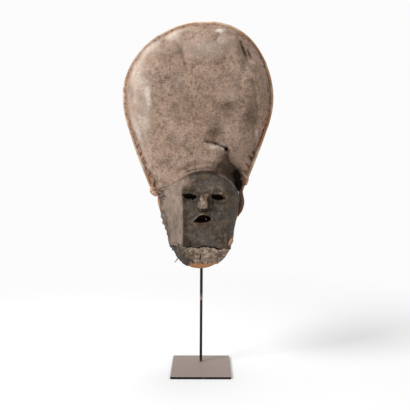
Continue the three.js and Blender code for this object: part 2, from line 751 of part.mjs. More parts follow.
const caneRoom = [crownCane(CANE_DIA + 2 * GAP), chinCane(CANE_DIA + 2 * GAP)].map(solidFrom);
const knotRoom = Object.values(LASHINGS).map((knot) => lashing(knot, GAP));

addPiece('headdress_cloth', geometryOf(cutBy(headdressShell(), [faceRegion(), ...knotRoom])), CLOTH);
addPiece('face', geometryOf(cutBy(faceSolid(), [seamSide(200, SEAM_FIT), ...knotRoom])), DARK_CLOTH);
addPiece('chin_cloth', geometryOf(cutBy(chinShell(), [seamSide(330, -SEAM_CRACK), chinTear()])), PALE_CLOTH);
addPiece('crown_hoop', crownCane(CANE_DIA), CANE);
addPiece('chin_hoop', chinCane(CANE_DIA), CANE);
addPiece('left_lashing', geometryOf(cutBy(lashing(LASHINGS.left, 0), caneRoom)), KNOT);
addPiece('right_lashing', geometryOf(cutBy(lashing(LASHINGS.right, 0), caneRoom)), KNOT);
addPiece('loose_twig', looseTwig(), CANE);
addPiece('hanging_rod', geometryOf(hangingRod()), STEEL);
addPiece('lower_post', lowerPost(), STEEL);
addPiece('base_plate', basePlate(), STEEL);

export default part;
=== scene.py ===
# %% [markdown]
# # A cloth dance mask on its steel stand
#
# The mask is cloth stiffened with resin and stretched over two bent canes: a pear-shaped headdress
# above, a small dark face that stands out in front of it, and a strip of bare cloth round the chin.
# It is open behind. A slim rod carries it on a square steel foot.
#
# The frame holds every piece at its real size. This lesson dresses each one with a finer surface.
# All shapes are worked out in millimetres and become metres only when a mesh is made.

# %% Load the frame
import json
import math

import bpy
import numpy as np
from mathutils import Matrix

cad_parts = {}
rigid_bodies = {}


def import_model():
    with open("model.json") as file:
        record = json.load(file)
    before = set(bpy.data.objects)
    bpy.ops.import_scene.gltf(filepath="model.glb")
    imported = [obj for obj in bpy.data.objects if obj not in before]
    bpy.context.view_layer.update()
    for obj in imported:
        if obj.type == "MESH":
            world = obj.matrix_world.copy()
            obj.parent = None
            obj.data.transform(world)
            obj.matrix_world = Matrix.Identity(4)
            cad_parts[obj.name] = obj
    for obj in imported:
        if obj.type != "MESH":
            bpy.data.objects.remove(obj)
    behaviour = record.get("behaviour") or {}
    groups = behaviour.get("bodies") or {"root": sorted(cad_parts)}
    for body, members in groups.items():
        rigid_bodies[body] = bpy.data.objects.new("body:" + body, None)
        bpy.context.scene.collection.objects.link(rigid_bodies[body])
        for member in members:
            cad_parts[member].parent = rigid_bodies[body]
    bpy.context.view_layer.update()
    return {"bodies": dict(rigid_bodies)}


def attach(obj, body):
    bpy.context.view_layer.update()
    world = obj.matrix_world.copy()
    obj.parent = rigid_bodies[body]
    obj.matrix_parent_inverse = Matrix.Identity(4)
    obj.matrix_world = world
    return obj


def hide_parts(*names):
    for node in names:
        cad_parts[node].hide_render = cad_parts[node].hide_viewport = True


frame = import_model()
BODY = list(frame["bodies"])[0]
MM = 0.001

# %% [markdown]
# ## Camera
#
# The photograph looks at the mask almost from its own height, a little from above, through a lens
# of normal length. The square foot gives the distance: its four corners fit only one place for the
# camera.

# %% Camera
CAMERA_PLACE = (0.015, -1.2938, 0.5048)
CAMERA_PITCH_DOWN = 6.13
CAMERA_YAW_LEFT = 0.26
CAMERA_LENS, SENSOR_WIDTH = 52.68, 36

camera_data = bpy.data.cameras.new("camera")
camera_data.lens = CAMERA_LENS
camera_data.sensor_width = SENSOR_WIDTH
camera = bpy.data.objects.new("camera", camera_data)
camera.location = CAMERA_PLACE
camera.rotation_euler = (math.radians(90 - CAMERA_PITCH_DOWN), 0, math.radians(CAMERA_YAW_LEFT))
bpy.context.scene.collection.objects.link(camera)
bpy.context.scene.camera = camera
print("camera at", CAMERA_PLACE)

# %% [markdown]
# ## Small tools for shapes
#
# Old cloth is never smooth. Its bumps come from a lattice of random numbers, blended so that the
# same place always has the same height. The numbers come from a seeded formula, so each run of
# the lesson gives the same mask.

# %% Blending and noise
def smooth(t):
    """Rises from 0 to 1 as t does, and starts and ends level: 3t squared minus 2t cubed."""
    t = np.clip(t, 0, 1)
    return t * t * (3 - 2 * t)


def mix(a, b, t):
    """The value t of the way from a to b."""
    return a + (b - a) * t


def hill(t):
    """A bell: 1 where t is 0, falling off as e to the minus t squared."""
    return np.exp(-t * t)


def noise(points, size, seed):
    """Lattice noise from -1 to 1: each corner of a lattice with cells of that size has a hashed
    random number, and a point blends the eight corners round it."""
    at = np.asarray(points, float) / size
    cell = np.floor(at).astype(np.int64)
    part = smooth(at - cell)
    total = np.zeros(at.shape[:-1])
    for corner in np.ndindex(2, 2, 2):
        x, y, z = np.moveaxis(cell + np.array(corner), -1, 0)
        mixed = (x * 73856093) ^ (y * 19349663) ^ (z * 83492791) ^ (seed * 26544357)
        mixed = ((mixed ^ (mixed >> 13)) * 1274126177) & 0xFFFFFFFF
        value = ((mixed ^ (mixed >> 16)) & 0xFFFF) / 32767.5 - 1
        weight = np.prod(np.where(corner, part, 1 - part), axis=-1)
        total += weight * value
    return total


def rough(points, size, layers, seed):
    """Layers of lattice noise, each with half the size and half the height of the one before."""
    total = 0
    for layer in range(layers):
        total = total + noise(points, size / 2**layer, seed + layer) / 2**layer
    return total


def flat(x, z):
    """Points in the plane of the canes, from x across and z up."""
    x, z = np.broadcast_arrays(x, z)
    return np.stack([x, np.zeros_like(x), z], axis=-1)


def walked(grid, axis):
    """The length walked from the first point along a grid's rows or columns."""
    first = np.take(grid, [0], axis=axis)
    return np.linalg.norm(np.diff(grid, axis=axis, prepend=first), axis=-1).cumsum(axis=axis)


print("noise sample", noise(np.array([[1.0, 2.0, 3.0]]), 5, 1))

# %% [markdown]
# ## Lines
#
# The canes and the cloth's edge are curves drawn through a few points. A spline passes through its
# points, and walking along it at an even pace gives rows that are all the same distance apart.

# %% Splines and even spacing
def spline(points, t):
    """A Catmull-Rom curve through the points, at t from 0 to 1: each span is a cubic whose end
    slopes are half of the step between its neighbours."""
    p = np.asarray(points, float)
    s = np.clip(t, 0, 1) * (len(p) - 1)
    i = np.minimum(s.astype(int), len(p) - 2)
    w = (s - i)[..., None]
    a, b = p[np.maximum(i - 1, 0)], p[i]
    c, d = p[i + 1], p[np.minimum(i + 2, len(p) - 1)]
    start, end = (c - a) / 2, (d - b) / 2
    cubic = 2 * b - 2 * c + start + end
    square = 3 * c - 3 * b - 2 * start - end
    return cubic * w**3 + square * w**2 + start * w + b


def evenly(path, count):
    """count points along a path, the same length apart."""
    length = walked(path, 0)
    at = np.linspace(0, length[-1], count)
    return np.stack([np.interp(at, length, column) for column in path.T], axis=-1)


# %% [markdown]
# ## The canes' outline
#
# The crown hoop is a circle that leans to the right and opens into two flanks. The chin hoop is an
# arc with two legs. The numbers are those of the frame, so the cloth lies on the canes.

# %% Outline of the hoops
RIM_Y = 18
CANE_DIA = 9
CROWN_X, CROWN_Z, CROWN_R = -6, 594, 163
CROWN_DROP = math.radians(17)
CROWN_LEAN, CROWN_SHOULDER = 14, 10
LASH_Z = 397
FLANKS = {"left": (-1, 103, 133, 466), "right": (1, 98.5, 127, 458)}
CHIN_X, CHIN_Z, CHIN_R = -2, 286.5, 64.5
CHIN_ARC = (math.radians(200), math.radians(340), 7)
CHIN_LEFT = [(-70.5, 276), (-73, 291), (-80, 318), (-95, 368), (-96, 390), (-110, 428)]
CHIN_RIGHT = [(66.5, 276), (72.5, 294), (75, 318), (84, 350), (87, 375), (83, 397), (93.5, 428)]


def lean_top(path):
    """Moves the crown's points right by the cube of how upright they lie on the circle, and lifts
    those on its right shoulder."""
    out = path - [CROWN_X, CROWN_Z]
    reach = np.linalg.norm(out, axis=-1)
    upright = np.maximum(0, out[..., 1] / reach)
    rightward = np.maximum(0, out[..., 0] / reach)
    shift = np.stack([CROWN_LEAN * upright**3, CROWN_SHOULDER * rightward * upright**2], axis=-1)
    return path + shift


def crown_half(side, inset, count):
    """One half of the crown's outline: an arc of the circle, then a quadratic curve pulled out
    beside the lashing."""
    sign, half, pull_x, pull_z = FLANKS[side]
    angle = np.linspace(math.pi / 2, -CROWN_DROP, 200)
    ring = np.stack([sign * np.cos(angle), np.sin(angle)], axis=-1) * (CROWN_R - inset)
    turn = ring + [CROWN_X, CROWN_Z]
    pull = np.array([CROWN_X + sign * (pull_x - inset), pull_z])
    end = np.array([CROWN_X + sign * (half - inset), LASH_Z])
    t = np.linspace(0, 1, 80)[1:, None]
    flank = (1 - t) ** 2 * turn[-1] + 2 * (1 - t) * t * pull + t * t * end
    return lean_top(evenly(np.concatenate([turn, flank]), count))


def chin_points(inset):
    """The points of the chin hoop's spline: the left leg down, the arc, the right leg up."""
    start, end, count = CHIN_ARC
    angle = np.linspace(start, end, count)
    radius = CHIN_R - inset
    arc = np.stack([CHIN_X + radius * np.cos(angle), CHIN_Z + radius * np.sin(angle)], axis=-1)
    left = np.array(CHIN_LEFT)[::-1] + [inset, 0]
    right = np.array(CHIN_RIGHT) - [inset, 0]
    return np.concatenate([left, arc, right])


def pear_outline():
    """The whole outline as a ring of points, clockwise from the top."""
    chin = evenly(spline(chin_points(0), np.linspace(0, 1, 900)), 260)
    chin = chin[chin[:, 1] < LASH_Z - 8]
    right, left = crown_half("right", 0, 300), crown_half("left", 0, 300)
    return np.concatenate([right, chin[::-1], left[::-1]])


outline = pear_outline()
print("outline from", outline.min(axis=0), "to", outline.max(axis=0))

# %% [markdown]
# ## The face's border
#
# The face begins at an arch: a straight shoulder at the left, then half an ellipse. The headdress
# cloth reaches down to this border and ends just behind the face, a few millimetres below it.

# %% Arch and seam
ARCH_X, ARCH_Z, ARCH_HALF, ARCH_RISE = 8, 375, 75, 68
SHOULDER_X, SHOULDER_SLOPE = -49, 0.448
ARCH_END = math.radians(8.4)
ARCH_LAP = 15
SEAM_Z, SEAM_HALF = 290, 68


def arch_top(x):
    """Height of the face's upper border: an ellipse, and a straight slope left of the shoulder."""
    across = (np.maximum(x, SHOULDER_X) - ARCH_X) / ARCH_HALF
    height = ARCH_Z + ARCH_RISE * np.sqrt(np.maximum(0, 1 - across**2))
    return height + SHOULDER_SLOPE * np.minimum(0, x - SHOULDER_X)


def seam_height(x):
    """Height of the ragged seam between face and chin cloth: lower at both sides, with waves."""
    return SEAM_Z - 15 * (x / SEAM_HALF) ** 4 + 2 * np.sin(x / 8) + np.sin(x / 3.7)


def arch_line():
    """Where the headdress ends under the face: level beside the right cheek, up round the arch and
    down the straight shoulder to the left. At the right it runs on well under the free edge."""
    angle = np.linspace(ARCH_END, math.pi / 2, 80)
    half = ARCH_HALF - ARCH_LAP * np.cos(angle)
    right = np.stack([ARCH_X + half * np.cos(angle), ARCH_Z + ARCH_RISE * np.sin(angle)], axis=-1)
    x = np.linspace(ARCH_X, -125, 140)[1:]
    beside = [[125, 374], [right[0, 0] + 1, 374]]
    return np.concatenate([beside, right, np.stack([x, arch_top(x)], axis=-1)])


arch = arch_line()
print("arch top", arch[:, 1].max())

# %% [markdown]
# ## Seen from the middle of the headdress
#
# The headdress cloth is laid out like a wheel: spokes run from its middle to its edge. For each
# spoke the lesson needs how far the edge is, and how squarely the spoke meets it, because a point's
# distance to the cane decides how far the cloth stands out there.

# %% Spokes
NO_HIT = 9999
MIDDLE = np.array([CROWN_X, CROWN_Z - 10])
SPOKE_TABLE = np.linspace(-math.pi, math.pi, 1441)


def first_hits(path, closed, farthest):
    """Distance from the middle to a path along every spoke of the table, and the sine of the angle
    between the two. Each spoke is crossed with each straight piece of the path."""
    ends = np.roll(path, -1, axis=0) if closed else path[1:]
    starts = path if closed else path[:-1]
    a, edge = starts - MIDDLE, ends - starts
    dx, dz = np.cos(SPOKE_TABLE)[:, None], np.sin(SPOKE_TABLE)[:, None]
    across = dx * edge[:, 1] - dz * edge[:, 0]
    across = np.where(np.abs(across) < 1e-9, 1e-9, across)
    reach = (a[:, 0] * edge[:, 1] - a[:, 1] * edge[:, 0]) / across
    along = (a[:, 0] * dz - a[:, 1] * dx) / across
    hit = (reach > 0) & (along >= 0) & (along <= 1)
    reach = np.where(hit, reach, 0 if farthest else NO_HIT)
    pick = reach.argmax(axis=1) if farthest else reach.argmin(axis=1)
    row = np.arange(len(SPOKE_TABLE))
    lean = np.abs(across[row, pick]) / np.linalg.norm(edge, axis=1)[pick]
    return reach[row, pick], lean


def blurred(values, width):
    """A table over the full turn, averaged over that many neighbours on each side."""
    wrapped = np.concatenate([values[-width - 1:-1], values, values[1:width + 1]])
    return np.convolve(wrapped, np.ones(2 * width + 1) / (2 * width + 1), mode="valid")


def lowest(values, width):
    """A table over the full turn, with each value the lowest of its neighbours on both sides."""
    shifted = [np.roll(values[:-1], k) for k in range(-width, width + 1)]
    least = np.min(shifted, axis=0)
    return np.concatenate([least, least[:1]])


rim_reach, rim_lean = first_hits(outline, True, True)
rim_lean = blurred(lowest(rim_lean, 12), 10)
arch_reach, _ = first_hits(arch, False, False)
print("reach to the rim from", rim_reach.min(), "to", rim_reach.max())


def on_spoke(table, angle):
    """A table's value at any angle."""
    turned = (angle + math.pi) % (2 * math.pi) - math.pi
    return np.interp(turned, SPOKE_TABLE, table)


# %% [markdown]
# ## The form of the headdress
#
# The cloth rises steeply from the cane at the crown and then lies nearly flat, like a drum with a
# rounded edge. Lower down it slopes in over a wide band. Furrows, the rip with its overlapping
# lip, and the crease that runs down from it are added as depths along lines.

# %% Lines of folds
FURROWS = [
    [(54, 486, 5, 9), (60, 462, 7, 11), (74, 443, 10, 14), (90, 420, 13, 20)],
    [(83, 704, 5, 9), (92, 680, 8, 9), (96, 664, 4, 10), (88, 640, 1, 12)],
    [(-73, 718, 4, 8), (-73, 690, 2, 9)],
    [(-50, 706, 3, 9), (-35, 684, 4, 10), (-26, 648, 1, 11)],
    [(106, 634, 3, 12), (117, 560, 3, 12), (104, 500, 3, 14)],
    [(-60, 430, 2, 10), (-14, 451, 4, 10), (30, 452, 5, 10), (64, 436, 8, 12)],
    [(38, 452, 5, 9), (56, 442, 13, 11), (72, 424, 20, 13), (83, 404, 24, 14), (86, 386, 24, 14)],
]
NARROW_FOLDS = [
    [(82, 706, 3.5, 2.4), (86, 694, 6, 2.8), (92, 680, 5, 2.6), (95, 668, 1, 3)],
    [(97, 690, 2, 2), (101, 680, 5, 2.4), (106, 668, 1.5, 2.6)],
    [(-74, 722, 1.5, 2), (-74, 706, 3, 2.2), (-72, 690, 1, 2.4)],
    [(-52, 708, 2, 3), (-38, 688, 2.6, 3), (-30, 668, 2, 3), (-25, 646, 0.5, 3)],
    [(40, 722, 1.5, 3), (34, 712, 2.5, 3), (30, 700, 0.5, 3)],
    [(96, 668, 1.5, 3), (89, 650, 2, 4), (84, 626, 0.5, 4)],
    [(106, 634, 1, 3), (113, 604, 2, 3), (117, 566, 2, 3), (112, 530, 0.5, 3)],
    [(-128, 540, 0.5, 3), (-120, 516, 2.5, 3), (-110, 490, 0.5, 3)],
    [(-20, 560, 0.4, 5), (12, 548, 1, 5), (30, 520, 0.4, 5)],
]
RIP_LINE = [(6, 501), (20, 500), (34, 496), (47, 491), (57, 483)]
CREASE_LINE = [(55, 486), (57, 470), (63, 456), (73, 443), (83, 429), (88, 414)]
RIP_HOLE = (53, 487)
DARK_GAP = [(77, 434), (84, 419), (88, 403), (86, 384)]


def line_places(x, z, line):
    """For each place, the distance to a line of points, the side of it (+1 on its left as it runs)
    and how far along it the nearest point lies, from 0 to 1."""
    p = np.asarray(line, float)[:, :2]
    best = np.full(np.shape(x), 1e9)
    side, along = np.zeros(np.shape(x)), np.zeros(np.shape(x))
    for k, (a, b) in enumerate(zip(p[:-1], p[1:])):
        step = b - a
        t = np.clip(((x - a[0]) * step[0] + (z - a[1]) * step[1]) / (step @ step), 0, 1)
        gap_x, gap_z = x - a[0] - t * step[0], z - a[1] - t * step[1]
        away = np.hypot(gap_x, gap_z)
        near = away < best
        best = np.where(near, away, best)
        side = np.where(near, np.sign(step[0] * gap_z - step[1] * gap_x), side)
        along = np.where(near, (k + t) / (len(p) - 1), along)
    return best, side, along


def folds(x, z, lines):
    """Sum of furrows: each takes away its depth on its line and fades as a bell beside it."""
    total = np.zeros(np.shape(x))
    for line in lines:
        away, _, along = line_places(x, z, line)
        steps = np.linspace(0, 1, len(line))
        depth = np.interp(along, steps, [p[2] for p in line])
        width = np.interp(along, steps, [p[3] for p in line])
        total += depth * hill(away / width)
    return total


def rip_step(x, z):
    """The rip and its crease. Below the rip a lip stands up and above it the cloth is pulled in.
    Left of the crease the cloth rolls over and dives, and at the right it starts again at once."""
    away, side, along = line_places(x, z, RIP_LINE)
    torn = away + 0.9 * rough(flat(x, z), 5, 2, 31)
    begin = smooth(along / 0.15)
    lip = 3.4 * np.exp(-np.maximum(torn, 0) / 9) * begin
    sunk = 6 * np.exp(-np.maximum(torn, 0) / 9) * begin
    rip = np.where(side < 0, lip, -sunk) * smooth((1.02 - along) / 0.3)
    away, side, along = line_places(x, z, CREASE_LINE)
    begin, deep = smooth(along / 0.12), mix(9, 15, smooth(along / 0.7))
    dive = -deep * np.exp(-away / 14) + 3.5 * hill((away - 28) / 14)
    edge = -deep * np.exp(-away / 2.4)
    crease = np.where(side < 0, dive, edge) * begin
    hole = 15 * hill(np.hypot(x - RIP_HOLE[0], z - RIP_HOLE[1]) / 3.6)
    return rip + crease - hole


def gap_share(x, z):
    """How far a place lies in the deep dark gap between the face and the right lashing: 1 in it."""
    away, _, _ = line_places(x, z, DARK_GAP)
    return smooth(1.6 - away / (8 + 1.4 * noise(flat(x, z), 8, 33)))


print("rip runs over", len(RIP_LINE), "points")

# %% Depth of the headdress cloth
# The cloth is nipped on to the cane's front at NIP_DEPTH, and the face's sides end at RIM_DEPTH.
RIM_DEPTH, CROWN_DEPTH, NIP_DEPTH = 5, 70, 0.5
TURN_BAND, TURN_POWER = 58, 2.3
NECK_BAND, NECK_POWER = 92, 1.5
NECK_FROM, NECK_REACH = 575, 140
BELLY, BELLY_REACH = 6, 170
FIELD_STEP = 2.5
FIELD_X, FIELD_Z = np.arange(-190, 191, FIELD_STEP), np.arange(150, 780, FIELD_STEP)


def crown_depth(x, z, to_edge):
    """How far the cloth stands in front of the canes: a rounded step up from the edge, whose width
    and roundness change from crown to neck, plus a belly, less the furrows."""
    neck = smooth((NECK_FROM - z) / NECK_REACH)
    band, power = mix(TURN_BAND, NECK_BAND, neck), mix(TURN_POWER, NECK_POWER, neck)
    t = np.clip(1 - to_edge / band, 0, 1)
    rise = np.maximum(0, 1 - t**power) ** (1 / power)
    away = np.hypot(x - CROWN_X, z - CROWN_Z) / BELLY_REACH
    belly = BELLY * np.maximum(0, 1 - away**2)
    sunk = folds(x, z, FURROWS) * smooth(to_edge / 14)
    return NIP_DEPTH + (CROWN_DEPTH - NIP_DEPTH) * rise + belly * rise - sunk


def edge_distance(x, z):
    """Distance from a place on the cloth to the outer edge of the cane: a blend of the four nearest
    distances of the lattice."""
    across = np.clip((x - FIELD_X[0]) / FIELD_STEP, 0, len(FIELD_X) - 1.001)
    up = np.clip((z - FIELD_Z[0]) / FIELD_STEP, 0, len(FIELD_Z) - 1.001)
    i, k = across.astype(int), up.astype(int)
    low = mix(edge_field[i, k], edge_field[i + 1, k], across - i)
    high = mix(edge_field[i, k + 1], edge_field[i + 1, k + 1], across - i)
    return np.maximum(0, mix(low, high, up - k))


def softened(lattice, spread):
    """Every value of a lattice becomes the average of its neighbours, weighted by a bell."""
    bells = [hill((np.arange(n)[:, None] - np.arange(n)) / spread) for n in lattice.shape]
    across, up = [bell / bell.sum(axis=1, keepdims=True) for bell in bells]
    return across @ lattice @ up.T


lattice_x, lattice_z = np.meshgrid(FIELD_X, FIELD_Z, indexing="ij")
away, side, _ = line_places(lattice_x, lattice_z, np.concatenate([outline[::3], outline[:1]]))
exact = away * np.where(side < 0, 1, -1)
edge_field = mix(exact, softened(exact, 10), smooth((exact - 5) / 30))
print("farthest from a cane", edge_field.max())

# %% [markdown]
# ## From grids to meshes
#
# Every sheet of cloth is a grid of points for its front and another for its back, joined round
# the edges. A grid that runs once round a hoop is closed, and its last column meets its first.

# %% Mesh making
def make_mesh(name, points, quads, triangles=None, uv=None, masks=None):
    """A new object from points in millimetres. uv is one pair for each point, in metres of cloth,
    and masks are named numbers for each point."""
    mesh = bpy.data.meshes.new(name)
    mesh.vertices.add(len(points))
    mesh.vertices.foreach_set("co", (np.asarray(points) * MM).ravel())
    corners, starts = quads.ravel(), np.arange(len(quads)) * 4
    if triangles is not None and len(triangles):
        starts = np.concatenate([starts, len(corners) + np.arange(len(triangles)) * 3])
        corners = np.concatenate([corners, triangles.ravel()])
    mesh.loops.add(len(corners))
    mesh.loops.foreach_set("vertex_index", corners.astype(np.int32))
    mesh.polygons.add(len(starts))
    mesh.polygons.foreach_set("loop_start", starts.astype(np.int32))
    mesh.update(calc_edges=True)
    mesh.polygons.foreach_set("use_smooth", np.ones(len(starts), dtype=bool))
    if uv is not None:
        layer = mesh.uv_layers.new(name="cloth")
        layer.data.foreach_set("uv", np.asarray(uv)[corners].astype(np.float32).ravel())
    for key, values in (masks or {}).items():
        attribute = mesh.attributes.new(key, "FLOAT", "POINT")
        attribute.data.foreach_set("value", np.asarray(values, np.float32).ravel())
    made = bpy.data.objects.new(name, mesh)
    bpy.context.scene.collection.objects.link(made)
    print(name, len(points), "points", len(starts), "faces")
    return made


def grid_quads(rows, columns, first=0, closed=False, flip=False):
    """Corner numbers of a grid's faces. Rows run up and columns to the right, seen from outside."""
    last = columns if closed else columns - 1
    r, c = np.meshgrid(np.arange(rows - 1), np.arange(last), indexing="ij")
    right = (c + 1) % columns
    low, high = r * columns, (r + 1) * columns
    quads = np.stack([low + c, low + right, high + right, high + c], -1).reshape(-1, 4) + first
    return quads[:, ::-1] if flip else quads


def pole_fans(rows, columns, flip=False):
    """Triangles that close a grid of rings at both ends. The two poles are the next two points."""
    here, following = np.arange(columns), (np.arange(columns) + 1) % columns
    pole, last = np.full(columns, rows * columns), (rows - 1) * columns
    fans = np.concatenate([np.stack([pole, following, here], -1),
                           np.stack([pole + 1, last + here, last + following], -1)])
    return fans[:, [0, 2, 1]] if flip else fans


def grid_normals(grid, closed=False):
    """Unit normals of a grid of points, from the steps across and up."""
    if closed:
        across = np.roll(grid, -1, axis=1) - np.roll(grid, 1, axis=1)
    else:
        across = np.gradient(grid, axis=1)
    normal = np.cross(across, np.gradient(grid, axis=0))
    return normal / np.maximum(np.linalg.norm(normal, axis=-1, keepdims=True), 1e-9)


def two_sided(front):
    """Faces of a sheet from its front and back grids of the same size, joined at all four edges."""
    rows, columns = front.shape[:2]
    number = np.arange(rows * columns).reshape(rows, columns)
    ring = np.concatenate([number[0], number[1:, -1], number[-1, -2::-1], number[-2:0:-1, 0]])
    nearer, offset = np.roll(ring, -1), rows * columns
    wall = np.stack([nearer, ring, ring + offset, nearer + offset], -1)
    inside = grid_quads(rows, columns, offset, flip=True)
    return np.concatenate([grid_quads(rows, columns), inside, wall])


def place(x, z, depth):
    """Points of the mask from x, z and how far they stand in front of the canes."""
    x, z, depth = np.broadcast_arrays(x, z, depth)
    return np.stack([x, RIM_Y - depth, z], axis=-1)


# %% [markdown]
# ## The headdress skin
#
# The skin is one sheet: its rows run from the middle out to the rim, roll over the rim, and come
# back along the inside. The rim is uneven, pinched at the stitches, and worn back at the upper
# right, where the cane shows.

# %% Rim of the headdress
SPOKES = 480
FRONT_RINGS, BACK_RINGS = 118, 34
SKIN = 2.6
TUCK, EASE, EASE_SPAN = 3.5, 2.2, 32
HOOP_WALK = 60
INSET, LEAST_INSET, MOST_INSET = 6.6, 4.4, 8.4
BARE_SPOTS = [(1.3, 0.09, 4.0), (1.12, 0.09, 4.4), (0.75, 0.2, 1.2), (0.2, 0.35, 1.8),
              (-0.6, 0.35, 2.0), (2.5, 0.25, -0.8), (-2.08, 0.05, 1.0), (-1.02, 0.04, 1.0)]
STITCH_STEP = 13

spoke_angle = -math.pi + 2 * math.pi * np.arange(SPOKES) / SPOKES


def round_walk(angle):
    """Places on a circle. Noise that is read there runs on all the way round the hoop."""
    return flat(HOOP_WALK * np.cos(angle), HOOP_WALK * np.sin(angle))


def from_middle(reach, angle):
    """x and z at some distances from the middle of the headdress along its spokes."""
    return MIDDLE[0] + reach * np.cos(angle), MIDDLE[1] + reach * np.sin(angle)


def rim_inset():
    """How far inside the cane's outer edge the cloth ends, spoke by spoke."""
    walk = round_walk(spoke_angle)
    inset = INSET + 0.9 * rough(walk, 9, 3, 11)
    for middle, width, extra in BARE_SPOTS:
        frayed = 1 + 0.4 * noise(walk, 3, 17)
        inset = inset + extra * hill((spoke_angle - middle) / width) * frayed
    return np.clip(inset, LEAST_INSET, MOST_INSET)


rim = on_spoke(rim_reach, spoke_angle)
rim_square = on_spoke(rim_lean, spoke_angle)
inset = rim_inset()
cane_edge = rim - inset / rim_square
end_gap = edge_distance(*from_middle(cane_edge, spoke_angle))
for _ in range(6):
    cane_edge = cane_edge + 0.8 * (end_gap - inset)
    end_gap = edge_distance(*from_middle(cane_edge, spoke_angle))
free_end = np.minimum(cane_edge, on_spoke(arch_reach, spoke_angle) + TUCK)
neighbours = range(-EASE_SPAN, EASE_SPAN + 1)
eased = np.max([np.roll(free_end, turn) - EASE * abs(turn) for turn in neighbours], axis=0)
cloth_end = np.minimum(cane_edge, eased)
stitch_count = int((rim * rim_square).sum() * 2 * math.pi / SPOKES / STITCH_STEP)
print("spokes that end under the face", (cloth_end < cane_edge - 0.5).sum())
print("places for stitches", stitch_count)


# %% Surface of the headdress
BROW_LINES = [(5, 2.2, -1.3), (9, 2.4, 1.2), (15, 3, -0.6), (21, 2.5, 0.5), (29, 4, -0.4)]
STITCH_WANDER, STITCH_DENT = 0.55, 2.6
GAP_DEPTH, LAPPED_DEPTH = 9, 14
USUAL_SPOKE = 158


def stitch_pull(angle, to_edge):
    """Dents where the sewing pulls the cloth in, from 0 to about 1.5: the cube of a cosine that
    peaks at each stitch, uneven in place and strength, and fading away from the cane."""
    walk = round_walk(angle)
    phase = stitch_count * angle / (2 * math.pi)
    phase = phase + STITCH_WANDER * noise(walk, 7, 23)
    pinch = np.maximum(0, np.cos(2 * math.pi * phase)) ** 3
    strength = np.clip(0.7 + 0.95 * noise(walk, 8, 29), 0, 1.5)
    return pinch * strength * hill((to_edge - 8) / 4.5)


def headdress_surface(angle, share):
    """Front of the headdress at a spoke's angle and a share of the way out along it. Rip, folds,
    brow wrinkles and bumps fade out towards the edge, where the hem and the sewing begin. The dark
    gap and the part that runs on behind the face are pressed back."""
    x, z = from_middle(share * np.interp(angle, spoke_angle, cloth_end, period=2 * math.pi), angle)
    gap_here = np.interp(angle, spoke_angle, end_gap, period=2 * math.pi)
    to_edge = np.maximum(0, edge_distance(x, z) - gap_here)
    at = flat(x, z)
    inside = smooth((to_edge - 2) / 16)
    narrow = folds(x, z, NARROW_FOLDS) * smooth(to_edge / 10)
    above_arch = z - arch_top(x)
    brow = inside * smooth((60 - x) / 20) * smooth((x + 48) / 24)
    wander = above_arch + 2.4 * noise(at, 26, 37)
    wrinkles = brow * sum(high * hill((wander - line) / wide) for line, wide, high in BROW_LINES)
    bumps = 1.5 * rough(at, 46, 2, 41) + 0.55 * rough(at, 12, 3, 43)
    puckers = 1.3 * noise(round_walk(angle), 3.4, 47) * hill((to_edge - 9) / 9)
    relief = inside * (rip_step(x, z) + bumps - narrow + wrinkles)
    depth = crown_depth(x, z, to_edge) + relief + puckers
    depth = depth - STITCH_DENT * stitch_pull(angle, to_edge)
    hem = 0.8 * smooth((15 - to_edge) / 1.5) * smooth(to_edge / 3)
    lapped = smooth((-above_arch - 2) / 9) * smooth((x - 12) / 20)
    depth = mix(depth + hem, GAP_DEPTH, gap_share(x, z))
    return place(x, z, mix(depth, np.minimum(depth, LAPPED_DEPTH), lapped))


def even_shares(count):
    """Shares from the middle to the rim that are evenly far apart along the cloth, worked out on a
    usual spoke: nearly level first, then steeply down to the cane."""
    close = 1 - 0.1 * np.linspace(1, 0, 400)[1:] ** 3
    radius = np.concatenate([np.linspace(0, 0.9, 200), close]) * USUAL_SPOKE
    depth = crown_depth(CROWN_X + 0 * radius, CROWN_Z + radius, USUAL_SPOKE - radius)
    return evenly(np.stack([radius, depth], -1), count)[:, 0] / USUAL_SPOKE


front_share = even_shares(FRONT_RINGS)[1:]
front = headdress_surface(spoke_angle[None, :], front_share[:, None])
back_share = even_shares(BACK_RINGS)[:0:-1]
behind = headdress_surface(spoke_angle[None, :], back_share[:, None])
print("front rows", len(front_share), "back rows", len(back_share))

# %% [markdown]
# The pole in the middle is a single point that all spokes share, on the front and on the back. The
# weave's coordinates are the length walked along each spoke, laid out flat, so that the threads
# stay straight where the cloth turns down to the rim.

# %% Headdress mesh
def headdress_mesh():
    """One closed skin: the front rings, then the back rings, thinner at the rim, then two poles."""
    hollow_way = grid_normals(behind[::-1], closed=True)[::-1]
    thin = mix(1.0, 0.55, smooth((back_share - 0.985) / 0.015))[:, None, None]
    rows = np.concatenate([front, behind + hollow_way * SKIN * thin])
    pole = headdress_surface(np.zeros((1, 1)), np.zeros((1, 1))).reshape(1, 3)
    points = np.concatenate([rows.reshape(-1, 3), pole, pole + [[0, SKIN, 0]]])
    outward = walked(np.concatenate([np.broadcast_to(pole, (1, SPOKES, 3)), front]), 0)[1:]
    inward = np.stack([np.interp(back_share, front_share, column) for column in outward.T], -1)
    length = np.concatenate([outward, inward]) * MM
    uv = np.stack([length * np.cos(spoke_angle), length * np.sin(spoke_angle)], -1)
    uv = np.concatenate([uv.reshape(-1, 2), [[0, 0], [0, 0]]])
    quads = grid_quads(len(rows), SPOKES, closed=True, flip=True)
    return points, quads, pole_fans(len(rows), SPOKES, flip=True), uv


skin_points, skin_quads, skin_fans, skin_uv = headdress_mesh()
print("headdress triangles", 2 * len(skin_quads) + len(skin_fans))

